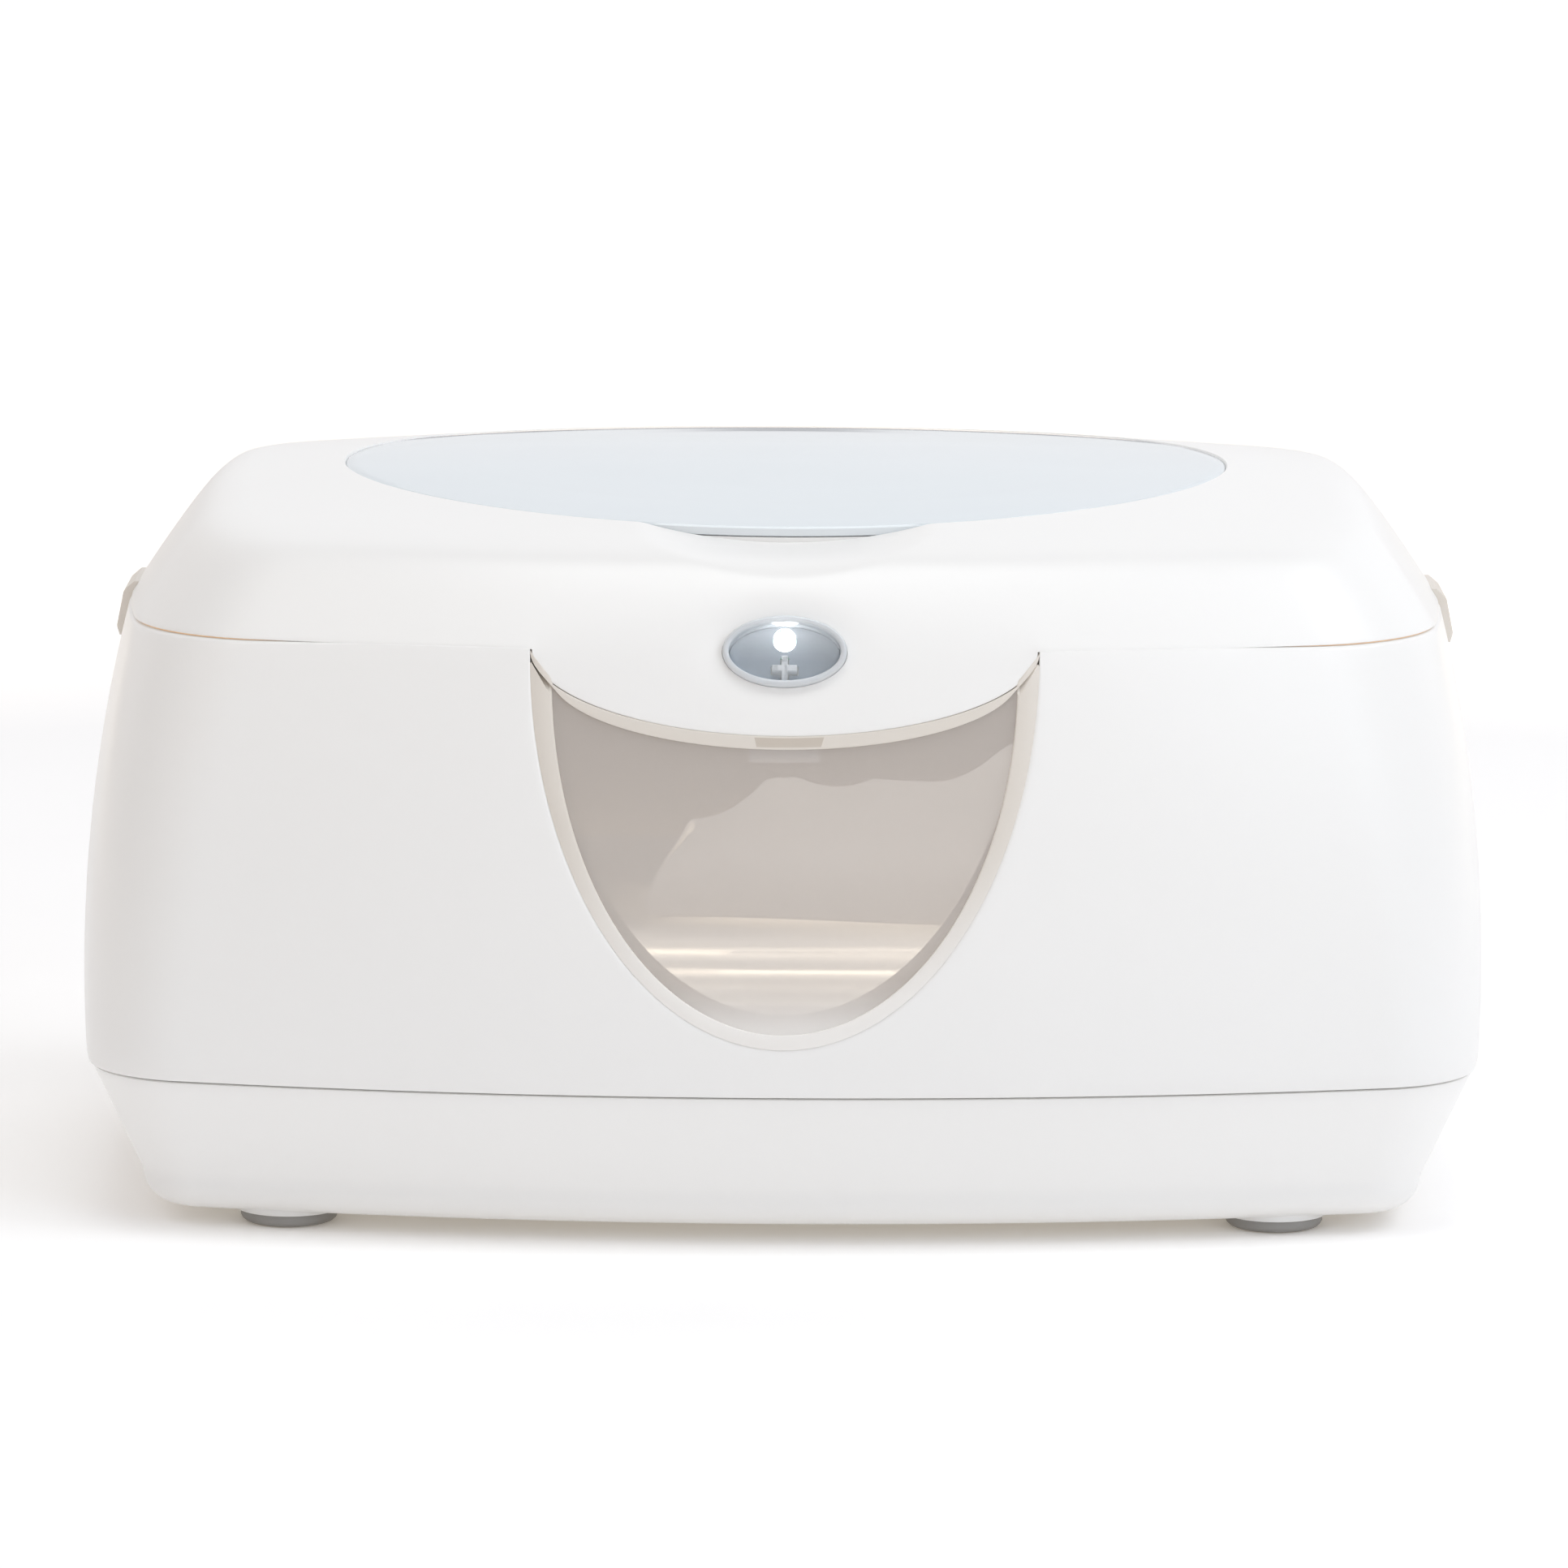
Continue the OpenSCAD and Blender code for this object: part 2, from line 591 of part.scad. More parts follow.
module outer_casing() {
  levels = [0, 0.15, 0.35, 0.55, 0.75, 0.9];
  outer = [for (f = concat(levels, [1])) casing_row(casing_z0 + f * casing_h, 0)];
  inner = concat(
    [casing_row(casing_z1, casing_t), casing_row(flange_z, casing_t),
     casing_row(flange_z - eps, casing_t + ledge_w), casing_row(ledge_z, casing_t + ledge_w),
     casing_row(ledge_z - ledge_w, casing_t)],
    [for (f = [0.75, 0.55, 0.35, 0.15, 0]) casing_row(casing_z0 + f * casing_h, casing_t)]);
  color("white") difference() {
    union() {
      loft(concat(outer, inner), round = true);
      four_corners(post[0], post[1]) translate([0, 0, casing_z0])
        cylinder(d = boss_d, h = thread_len);
      for (sx = [-1, 1], sy = [-1, 1]) scale([sx, sy, 1])
        translate([post[0], -post[1], casing_z0 + bite]) rotate([0, 0, 45])
          translate([thread_hole_d, -post_web_t / 2, 0])
          cube([post_in - thread_hole_d - casing_t / 2, post_web_t, thread_len - bite]);
      slab([jack_x - inlet_pad, jack_x + inlet_pad], [inlet_pad_y, inlet_wall_y - casing_t / 2],
           [jack_z - inlet_pad, jack_z + inlet_pad]);
      mirrored_x() {
        casing_knuckle(hinge_x);
        casing_knuckle(outer_knuckle_x);
      }
    }
    four_corners(post[0], post[1]) translate([0, 0, casing_z0 - bite])
      cylinder(d = thread_hole_d, h = thread_len + 2 * bite);
    translate([jack_x, inlet_pad_y - bite, jack_z]) rotate([-90, 0, 0])
      cylinder(d = jack_barrel_d + 2 * screw_gap, h = inlet_len);
    mirrored_x() {
      bar_x(hinge_pin_d / 2 + hinge_fit, hinge_x - bite, hinge_x1 + bite, hinge_y, hinge_z);
      ear_notch(flange_z - ear_gap, casing_z1 + bite);
    }
  }
}

// Inner tub: lift-out, with a flange, a bay that fills the window cut-out and two grip ears
function tub_in(z) = lerp(tub_in_floor, tub_in_top, (z - tub_floor_z) / (flange_z - tub_floor_z));
bay_hw = window_hw - window_gap;
function bay_low(k) = casing_z1 - drop(k, window_depth - window_gap);
function bay_top(k) = lid_z - tongue_gap - drop(k, tongue_drop);
// Tub wall from its floor up to the flange, or up to the window's lower edge
// Width and height of the slope between the tub's floor and its wall
floor_edge_w = 3;
floor_edge_h = 2;
function wall_row(f, s) = [for (k = [0:ring_n - 1])
  let (z1 = in_front(k) ? bay_low(k) + s : flange_z - (s > 0 ? bite : 0),
       z = lerp(tub_floor_z + s + floor_edge_h, z1, f))
  ring_point(k, z, tub_in(z) + s, bay_hw - s)];
function floor_row(s) = [for (k = [0:ring_n - 1])
  ring_point(k, tub_floor_z + s, tub_in_floor + s + floor_edge_w, bay_hw - s)];
// Window face at share f of its height, set in by d; beside the window it is the flange's edge
function face_row(f, d) = [for (k = [0:ring_n - 1])
  in_front(k)
    ? ring_point(k, lerp(bay_low(k), bay_top(k), f), d, bay_hw)
    : ring_point(k, flange_z + f * flange_t, casing_t + flange_gap, bay_hw)];
function shelf_row(d, s) = [for (k = [0:ring_n - 1])
  in_front(k) ? ring_point(k, bay_top(k) - s, d, bay_hw - tub_t)
              : ring_point(k, flange_z + flange_t - s, tub_in_top + tub_t, bay_hw - tub_t)];
// Inside of the window face; beside the window it runs down the tub's wall, to pane_end under the flange
pane_end = 0.8;
function pane_row(f) = [for (k = [0:ring_n - 1])
  in_front(k)
    ? ring_point(k, lerp(bay_top(k) - tub_t, bay_low(k) + tub_t, f), tub_t, bay_hw - tub_t)
    : ring_point(k, lerp(flange_z + flange_t - tub_t, flange_z - pane_end, f),
                 tub_in_top + tub_t, bay_hw - tub_t)];
face_steps = [0, 0.2, 0.4, 0.6, 0.8, 1];

// Grip ear: a plate outside the wall, rounded off at its top, on an arm through the notch to the flange
ear_arm_in = 3;
function ear_x(z) = half_w(z) - (z > lid_z ? lid_lean * (z - lid_z) : 0) + ear_gap;
module ear() {
  z0 = casing_z1 - ear_down;
  z1 = casing_z1 + ear_up;
  arm_x = half_w(flange_z) - casing_t - ear_arm_in;
  translate([0, ear_hw, 0]) rotate([90, 0, 0]) linear_extrude(2 * ear_hw)
    polygon([[ear_x(z0), z0], [ear_x(z0) + ear_t * 0.8, z0],
             [ear_x(z0) + ear_t * 0.2, z1 - ear_t * 0.7], [ear_x(z1) + ear_t * 0.5, z1],
             [ear_x(z1), z1], [ear_x(lid_z), lid_z], [ear_x(lid_z), flange_z + ear_t],
             [arm_x, flange_z + ear_t], [arm_x, flange_z + eps], [ear_x(flange_z), flange_z + eps]]);
}
shelf_t = 1.8;
bay_shelf_z = lid_z - tongue_gap - tongue_drop;
strike_y = -(half_d(bay_shelf_z) - strike_lip);

module inner_tub() {
  rings = concat(
    [floor_row(0)],
    [for (f = [0, 0.33, 0.66, 1]) wall_row(f, 0)],
    [for (f = face_steps) face_row(f, 0)],
    [shelf_row(shelf_w, 0), shelf_row(shelf_w, shelf_t)],
    [for (f = face_steps) pane_row(f)],
    [for (f = [1, 0.66, 0.33, 0]) wall_row(f, tub_t)],
    [floor_row(tub_t)]);
  color([0.85, 0.83, 0.8, 0.6]) difference() {
    union() {
      loft(rings, low = [0, 0, tub_floor_z], high = [0, 0, tub_floor_z + tub_t]);
      mirrored_x() ear();
    }
    slab([-strike_w / 2, strike_w / 2], [strike_y, strike_y + shelf_w],
         [bay_shelf_z - shelf_t - bite, bay_shelf_z + 2 * bite]);
  }
}

// Folded wipes, lying on the tub's floor
module wipe_stack() {
  color("linen") translate([0, 0, tub_floor_z + tub_t]) linear_extrude(wipes_h)
    offset(wipes_r) square([2 * (wipes_hw - wipes_r), 2 * (wipes_hd - wipes_r)], center = true);
}

// Power inlet: a barrel socket with a centre pin, behind the casing's rear wall
inlet_body = 5.6;
inlet_len = 12;
// Recess of the barrel's mouth behind the wall's outside, and how deep the bore runs into the body
inlet_recess = 0.6;
jack_bore_in = 5;
module power_inlet() {
  y1 = inlet_wall_y - inlet_recess;
  color("black") difference() {
    union() {
      slab([jack_x - inlet_body, jack_x + inlet_body], [inlet_pad_y - inlet_len, inlet_pad_y],
           [jack_z - inlet_body, jack_z + inlet_body]);
      translate([jack_x, inlet_pad_y - bite, jack_z]) rotate([-90, 0, 0])
        cylinder(d = jack_barrel_d, h = y1 - inlet_pad_y + bite);
    }
    translate([jack_x, inlet_pad_y - jack_bore_in, jack_z]) rotate([-90, 0, 0]) difference() {
      cylinder(d = jack_bore_d, h = jack_bore_in + inlet_len);
      cylinder(d = jack_pin_d, h = jack_bore_in - bite + y1 - inlet_pad_y);
    }
  }
}

// Control board on four posts of the base pan, with its main components
// Length, width and height of the connector, chip and relay, and the two capacitors' size and pitch
connector = [10, 8, 6];
chip = [12, 10, 1.8];
relay = [14, 10, 8];
capacitor_d = 8;
capacitor_h = 9;
capacitor_pitch = 10;
component_in = 8;
connector_x = board_x + board_l / 2 - component_in - connector[0] / 2;
connector_y = board_w / 2 - board_edge - connector[1] / 2;
module component(size, x, y) {
  translate([x - size[0] / 2, y - size[1] / 2, board_top]) cube(size);
}
module control_board() {
  color("seagreen") {
    difference() {
      slab([board_x - board_l / 2, board_x + board_l / 2], [-board_w / 2, board_w / 2],
           [board_z, board_top]);
      board_holes() translate([0, 0, board_z - bite])
        cylinder(d = board_hole_d, h = board_t + 2 * bite);
    }
    component(connector, connector_x, connector_y);
    component(chip, board_x, 0);
    component(relay, board_x - board_l / 2 + component_in + relay[0] / 2, -board_edge);
    for (i = [1, 2]) translate([board_x + board_edge + i * capacitor_pitch,
                                component_in + capacitor_d / 2 - board_w / 2, board_top])
      cylinder(d = capacitor_d, h = capacitor_h);
  }
}
module board_screws() {
  color("silver") board_holes() translate([0, 0, board_top]) rotate([180, 0, 0])
    screw_up(0, board_screw_d, board_screw_d * 1.9, board_screw_d * 0.64,
             board_t + board_post_h - screw_end_gap);
}

// Lead from the inlet's underside down to the board's connector
module power_lead() {
  z0 = jack_z - inlet_body;
  y0 = inlet_pad_y - inlet_len / 2;
  y1 = connector_y + connector[1] / 2;
  z1 = board_top + connector[2] / 2;
  path = [[jack_x, y0, z0], [jack_x, y0, z0 - 3], [jack_x, y0, z0 - 7],
          [jack_x - 1, y0 - 5, z0 - 15],
          [lerp(connector_x, jack_x, 0.6), lerp(y1, y0, 0.7), z1 + 1.5],
          [lerp(connector_x, jack_x, 0.2), lerp(y1, y0, 0.4), z1],
          [connector_x, y1 + 10, z1], [connector_x, y1 + 5, z1], [connector_x, y1, z1]];
  color("dimgray") tube(spline(path, 5), lead_d, [1, 0, 0]);
}

// Hinge pins, each a little shorter than its row of knuckles
hinge_pin_in = 0.5;
module hinge_pin() {
  color("silver")
    bar_x(hinge_pin_d / 2, hinge_x + hinge_pin_in, hinge_x1 - hinge_pin_in, hinge_y, hinge_z);
}
module hinge_pin_right() hinge_pin();
module hinge_pin_left() mirror([1, 0, 0]) hinge_pin();

// Lid shell: domed, with a tongue over the window, a seat for the lens and a hole for the button
// Gap from the heater plate's end to the lid's screw bosses, and the bosses' set-back from its edge
lid_boss_gap = 3;
lid_boss_in = 4;
lid_boss_x = plate_hw + boss_d / 2 + lid_boss_gap;
lid_boss_y = plate_hd - lid_boss_in;
liner_z0 = lid_z + liner_up;
liner_z1 = liner_z0 + liner_t;
latch_z = button_z + latch_up;
// The stem stands below the middle of the button, and the light above it
stem_off = 0.5;
stem_v = -(stem_span / 2 + stem_off);
shank_y = button_back(stem_v + stem_span / 2, stem_len) + stem_gap;
latch_y = shank_y + hook_t / 2;
// Room for the spring between the hook and each ear that holds the pin, and the ears' size
spring_room = 5.6;
latch_ear_x = hook_w / 2 + spring_room;
latch_ear_t = 2.4;
latch_ear_w = 5.2;
// Level of the middle of the lid's skin over a point of its crown
function skin_mid(x, y) = soft_min(lid_z + lid_top_q, crown(x, y) - lid_t / 2, shoulder_k);

// Height above the seam at which the lid knuckle's web meets the lid's skin
lid_web_h = 5;
module lid_knuckle() {
  x1 = lid_knuckle_x + lid_knuckle_w / 2;
  y = rear_y(x1, lid_z) - lid_t / 2;
  bar_x(knuckle_r, lid_knuckle_x, lid_knuckle_x + lid_knuckle_w, hinge_y, hinge_z);
  knuckle_web(lid_knuckle_x, lid_knuckle_w,
    [[y, lid_z + web_step], [hinge_y, lid_z + web_step], [hinge_y, hinge_z + knuckle_r - eps],
     [rear_y(x1, lid_z + lid_web_h) - lid_lean * lid_web_h - lid_t / 2, lid_z + lid_web_h]]);
}

module latch_ear() {
  top = [for (q = [13:2:23]) let (p = lid_point(0, q, lid_t / 2)) [p[1], p[2]]];
  low = latch_z - latch_ear_w / 2 + web_step;
  translate([latch_ear_x, 0, 0]) rotate([90, 0, 90]) linear_extrude(latch_ear_t)
    polygon(concat(top, [[latch_y + latch_ear_w / 2, low], [latch_y - latch_ear_w / 2, low]]));
}

module lid_shell() {
  seat_g = [0.25, 0.5, 0.8, 1];
  inner_g = 1 + lid_t / lens_a;
  outer = concat([for (g = seat_g) seat_row(g, 0)], [for (t = [1, 0.7, 0.35]) crown_row(t, 1, 0)],
                 [for (f = [1, 0.94, 0.87, 0.76, 0.64, 0.5, 0.36, 0.22, 0.1, 0]) lid_row(f, 0)]);
  inner = concat([for (f = [0, 0.14, 0.28, 0.44, 0.6, 0.76, 0.9, 1]) lid_row(f, lid_t)],
                 [for (t = [0.35, 0.7]) crown_row(t, inner_g, lid_t),
                  crown_row(1, inner_g, lid_t, lens_seat)],
                 [for (g = [0.8, 0.5, 0.25]) seat_row(g, lid_t)]);
  function middle(s) = [0, 0, crown(0, 0) - lens_seat - s];
  color("white") difference() {
    union() {
      loft(concat(outer, inner), low = middle(0), high = middle(lid_t), flip = true);
      for (sx = [-1, 1], sy = [-1, 1]) translate([sx * lid_boss_x, sy * lid_boss_y, liner_z1])
        cylinder(d = boss_d, h = skin_mid(lid_boss_x, sy * lid_boss_y) - liner_z1);
      mirrored_x() {
        lid_knuckle();
        latch_ear();
      }
    }
    on_button() oval_plug(bezel_a + screw_gap, bezel_b + screw_gap, -bezel_b, bezel_b);
    four_corners(lid_boss_x, lid_boss_y) translate([0, 0, liner_z1 - bite])
      cylinder(d = thread_hole_d, h = thread_len + 2 * bite);
    bar_x(latch_pin_d / 2 + hinge_fit, -latch_ear_x - latch_ear_t - bite,
          latch_ear_x + latch_ear_t + bite, latch_y, latch_z);
    mirrored_x() {
      bar_x(hinge_pin_d / 2 + hinge_fit, hinge_x - bite, hinge_x1 + bite, hinge_y, hinge_z);
      ear_notch(flange_z, casing_z1 + ear_up + ear_gap);
    }
  }
}

// Oval lens on the crown
module top_lens() {
  gs = [0.25, 0.5, 0.8, 1 - lens_gap / lens_b];
  function row(g, s) = [for (k = [0:ring_n - 1])
    let (o = lens_point(k, g)) [o[0], o[1], crown(o[0], o[1]) - s]];
  color([0.8, 0.88, 0.93, 0.6])
    loft(concat([for (g = gs) row(g, lens_t)], [for (i = [3:-1:0]) row(gs[i], 0)]),
         low = [0, 0, crown(0, 0) - lens_t], high = [0, 0, crown(0, 0)]);
}

// Liner under the lid, with a gap at its front for the latch
latch_room = 3;
latch_gap_x = hook_w / 2 + latch_room;
latch_gap_y = latch_y + hook_t / 2 + latch_room;
module latch_clearance(z0, z1) {
  slab([-latch_gap_x, latch_gap_x], [-body_d / 2, latch_gap_y], [z0 - bite, z1 + bite]);
}
liner_gap = 5;
liner_in = lid_t + liner_gap;
module lid_liner() {
  color("whitesmoke") difference() {
    translate([0, 0, liner_z0]) linear_extrude(liner_t) outline(lid_z, liner_in);
    latch_clearance(liner_z0, liner_z1);
    four_corners(lid_boss_x, lid_boss_y) translate([0, 0, liner_z0 - bite])
      cylinder(d = thread_hole_d, h = liner_t + 2 * bite);
    mirrored_x() ear_notch(liner_z0 - bite, liner_z1 + bite);
  }
}
module lid_screws() {
  color("silver") four_corners(lid_boss_x, lid_boss_y)
    screw_up(liner_z0, screw_d, screw_head_d, screw_head_h, liner_t + thread_len - screw_end_gap);
}

// Lip seal under the liner, hanging just inside the tub's mouth
gasket_gap = 0.6;
gasket_in = tub_in_top + tub_t + gasket_gap;
module lid_gasket() {
  color("gainsboro") difference() {
    translate([0, 0, liner_z0 - gasket_h]) linear_extrude(gasket_h) difference() {
      outline(flange_z + flange_t, gasket_in);
      outline(flange_z + flange_t, gasket_in + gasket_t);
    }
    latch_clearance(liner_z0 - gasket_h, liner_z0);
  }
}

// Heater: plate, printed film, insulation, thermostat and fuse, stacked on the liner
plate_r = 10;
film_z = liner_z1 + plate_t;
pad_z = film_z + film_t;
stat_x = 30;
stat_d = 12;
stat_h = 5;
fuse_x = -30;
fuse_d = 3.4;
fuse_l = 10;
// Set-back of the film and of the insulation from the plate's edge, and the room cut around a component
film_in = 3;
pad_in = 2;
pad_room = 1;
module sheet(z, t, inset) {
  translate([0, 0, z]) linear_extrude(t) offset(plate_r)
    square([2 * (plate_hw - plate_r - inset), 2 * (plate_hd - plate_r - inset)], center = true);
}
module heater_plate() {
  color("silver") sheet(liner_z1, plate_t, 0);
}
module heater_film() {
  color("orange") sheet(film_z, film_t, film_in);
}
module insulation_pad() {
  color("lightyellow") difference() {
    sheet(pad_z, pad_t, pad_in);
    translate([stat_x, 0, pad_z - bite])
      cylinder(d = stat_d + 2 * pad_room, h = pad_t + 2 * bite);
    slab([fuse_x - fuse_l / 2 - pad_room, fuse_x + fuse_l / 2 + pad_room],
         [-fuse_d / 2 - pad_room, fuse_d / 2 + pad_room], [pad_z - bite, pad_z + pad_t + bite]);
    slab([lead_x - lead_d, lead_x + lead_d], [lead_y1 - lead_d, plate_hd],
         [pad_z - bite, pad_z + pad_t + bite]);
  }
}
module thermostat() {
  color("gray") translate([stat_x, 0, pad_z]) {
    cylinder(d = stat_d, h = stat_h * 0.6);
    cylinder(d = stat_d * 0.75, h = stat_h);
  }
}
module thermal_fuse() {
  color("tan") bar_x(fuse_d / 2, fuse_x - fuse_l / 2, fuse_x + fuse_l / 2, 0, pad_z + fuse_d / 2);
}

// Lead from the rear of the liner to the end of the film
lead_x = -50;
lead_end = 14;
lead_y1 = plate_hd - lead_end;
lead_up = 0.2;
module heater_lead() {
  y0 = half_d(lid_z) - liner_in - 2 * lead_d;
  z0 = liner_z1 + lead_d / 2 + lead_up;
  z1 = pad_z + lead_d / 2;
  path = [[lead_x, y0, z0], [lead_x, y0 - 8, z0], [lead_x, plate_hd + 8, z0],
          [lead_x, plate_hd - 2, z1 + 0.3], [lead_x, plate_hd - lead_end / 2, z1],
          [lead_x, lead_y1, z1]];
  color("dimgray") tube(spline(path, 4), lead_d * 0.94, [1, 0, 0]);
}

// Clear oval bezel round the button, from bezel_back behind the face to bezel_front proud of it
bezel_back = -6;
bezel_front = 1.2;
opening_a = bezel_a - bezel_rim;
opening_b = bezel_b - bezel_rim;
module button_bezel() {
  color([0.85, 0.9, 0.95, 0.6]) on_button() difference() {
    oval_plug(bezel_a, bezel_b, bezel_back, bezel_front);
    oval_plug(opening_a, opening_b, bezel_back - bite, bezel_front + bite);
  }
}
// Reflector behind the button, with holes for the light and the stem
cap_front = 0.8;
cap_back = cap_front - cap_t;
reflector_gap = 0.5;
reflector_z = cap_back - button_travel - reflector_gap;
reflector_t = 1;
reflector_fit = 0.05;
led_v = led_d / 2 + 0.4;
led_stub = 1.9;
led_gap = 0.1;
stem_room = 0.3;
light_board_t = 1;
light_board_hw = 10;
led_back = reflector_z - reflector_t - led_stub;
module cross_rod(z0, z1, gap) {
  w = stem_span / 2 + gap;
  t = stem_t / 2 + gap;
  translate([0, stem_v, 0]) {
    slab([-w, w], [-t, t], [z0, z1]);
    slab([-t, t], [-w, w], [z0, z1]);
  }
}
module reflector() {
  color("lightsteelblue") on_button() difference() {
    oval_plug(opening_a - reflector_fit, opening_b - reflector_fit,
              reflector_z - reflector_t, reflector_z);
    translate([0, led_v, reflector_z - reflector_t - bite])
      cylinder(d = led_d + 2 * led_gap, h = reflector_t + 2 * bite);
    cross_rod(reflector_z - reflector_t - bite, reflector_z + bite, stem_room);
  }
}
// Light: a short cylinder with a domed front
module led() {
  color("white") on_button() translate([0, led_v, led_back]) rotate_extrude()
    polygon(concat([[0, 0], [led_d / 2, 0], [led_d / 2, led_stub]],
      [for (g = [20:10:90]) [led_d / 2 * cos(g), led_stub + reflector_t * 1.2 * sin(g)]]));
}
module light_board() {
  color("seagreen") on_button()
    slab([-light_board_hw, light_board_hw], [0, led_v + led_d / 2 + stem_room],
         [led_back - light_board_t, led_back]);
}

// Button: clear oval cap with a cross-shaped stem that pushes the latch
module button_cap() {
  color([0.9, 0.93, 0.97, 0.6]) on_button() {
    oval_plug(opening_a - button_gap, opening_b - button_gap, cap_back, cap_front);
    cross_rod(-stem_len, cap_back + eps, 0);
  }
}

// Latch: a hook on a cross pin, with its nose just short of the strike slot
nose_z1 = bay_shelf_z - shelf_t - nose_gap;
nose_slope = 2;
module latch_hook() {
  nose_y = strike_y + nose_gap;
  color("whitesmoke") difference() {
    union() {
      bar_x(latch_boss_r, -hook_w / 2, hook_w / 2, latch_y, latch_z);
      slab([-hook_w / 2, hook_w / 2], [shank_y, shank_y + hook_t], [nose_z1 - nose_h, latch_z]);
      translate([-hook_w / 2, 0, 0]) rotate([90, 0, 90]) linear_extrude(hook_w)
        polygon([[shank_y + bite, nose_z1 - nose_h], [nose_y + nose_slope, nose_z1 - nose_h],
                 [nose_y, nose_z1 - nose_h * 0.6], [nose_y, nose_z1], [shank_y + bite, nose_z1]]);
    }
    bar_x(latch_pin_d / 2 + hinge_fit, -hook_w, hook_w, latch_y, latch_z);
  }
}
module latch_pin() {
  color("silver") bar_x(latch_pin_d / 2, -latch_ear_x - latch_ear_t,
                        latch_ear_x + latch_ear_t, latch_y, latch_z);
}
// Coil spring round the latch pin, beside the hook, drawn with turn_n steps a turn
spring_gap = 0.15;
turn_n = 12;
module latch_spring() {
  r = latch_pin_d / 2 + spring_wire_d / 2 + spring_gap;
  x0 = hook_w / 2 + 2 * spring_gap + spring_wire_d / 2;
  pitch = (latch_ear_x - 2 * spring_gap - spring_wire_d / 2 - x0) / spring_turns;
  path = [for (i = [0:turn_n * spring_turns])
    [x0 + pitch * i / turn_n, latch_y + r * sin(360 * i / turn_n), latch_z + r * cos(360 * i / turn_n)]];
  color("gray") tube(path, spring_wire_d, [1, 0, 0], 6);
}

base_pan();
foot_front_left();
foot_front_right();
foot_rear_left();
foot_rear_right();
base_screws();
outer_casing();
inner_tub();
wipe_stack();
power_inlet();
control_board();
board_screws();
power_lead();
hinge_pin_left();
hinge_pin_right();
lid_shell();
top_lens();
lid_liner();
lid_screws();
heater_plate();
heater_film();
insulation_pad();
thermostat();
thermal_fuse();
heater_lead();
lid_gasket();
button_bezel();
reflector();
led();
light_board();
latch_pin();
latch_spring();
button_cap();
latch_hook();
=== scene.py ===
import bmesh
import bpy
import numpy as np
from mathutils import Matrix, Vector


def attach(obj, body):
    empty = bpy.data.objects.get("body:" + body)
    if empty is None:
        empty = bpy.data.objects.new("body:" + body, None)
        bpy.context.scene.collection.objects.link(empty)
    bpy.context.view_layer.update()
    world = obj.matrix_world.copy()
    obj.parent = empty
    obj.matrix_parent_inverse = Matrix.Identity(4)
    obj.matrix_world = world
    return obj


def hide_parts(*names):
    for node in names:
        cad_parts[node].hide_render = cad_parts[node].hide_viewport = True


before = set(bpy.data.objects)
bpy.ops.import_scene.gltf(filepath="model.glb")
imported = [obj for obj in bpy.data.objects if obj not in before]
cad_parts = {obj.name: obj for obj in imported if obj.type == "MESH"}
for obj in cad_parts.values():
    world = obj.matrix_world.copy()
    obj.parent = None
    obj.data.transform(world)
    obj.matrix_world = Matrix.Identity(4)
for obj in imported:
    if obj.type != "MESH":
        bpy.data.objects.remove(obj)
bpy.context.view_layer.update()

# ---------------------------------------------------------------------------------------------
# Base pan: a shallow tray moulded in white ABS, whose sides lean in towards the table.
# Its lower edge is rounded, and four screws from below hold it to the casing.
# The body's bowed outline, which every shell follows, is worked out here.

body_w, body_d, belly_z, flank_r = 292.6, 197.8, 48.0, 287.0
pan_z0, pan_z1, casing_z0, casing_z1, lid_z = 3.6, 32.7, 33.1, 121.7, 122.4
window_hw = 51.0
# the plan's radii in front, at the sides and round the corners, at the pan's rim and at the lid
front_rs, side_rs, corner_rs = (560, 405), (500, 320), (25, 36)
notch_n, arc_n, corner_n, side_n = 40, 22, 20, 12
quad_n = notch_n + arc_n + corner_n + side_n
ring_n = 4 * quad_n
step = np.arange(ring_n)
fold = np.select([step <= quad_n, step <= 2 * quad_n, step <= 3 * quad_n],
                 [step, 2 * quad_n - step, step - 2 * quad_n], ring_n - step)
sign_x = np.where(step <= 2 * quad_n, 1.0, -1.0)
sign_y = np.where((step > quad_n) & (step < 3 * quad_n), -1.0, 1.0)
in_front = (sign_y > 0) & (fold < notch_n)
bay = np.where(in_front, np.cos(np.pi / 2 * fold / notch_n), 0.0)  # 1 in the middle of the window


def lerp(a, b, t):
    return a + (b - a) * t


def smooth(t):
    t = np.clip(t, 0, 1)
    return t * t * (3 - 2 * t)


def half(size, z):
    return size / 2 - (z - belly_z) ** 2 / (2 * flank_r)


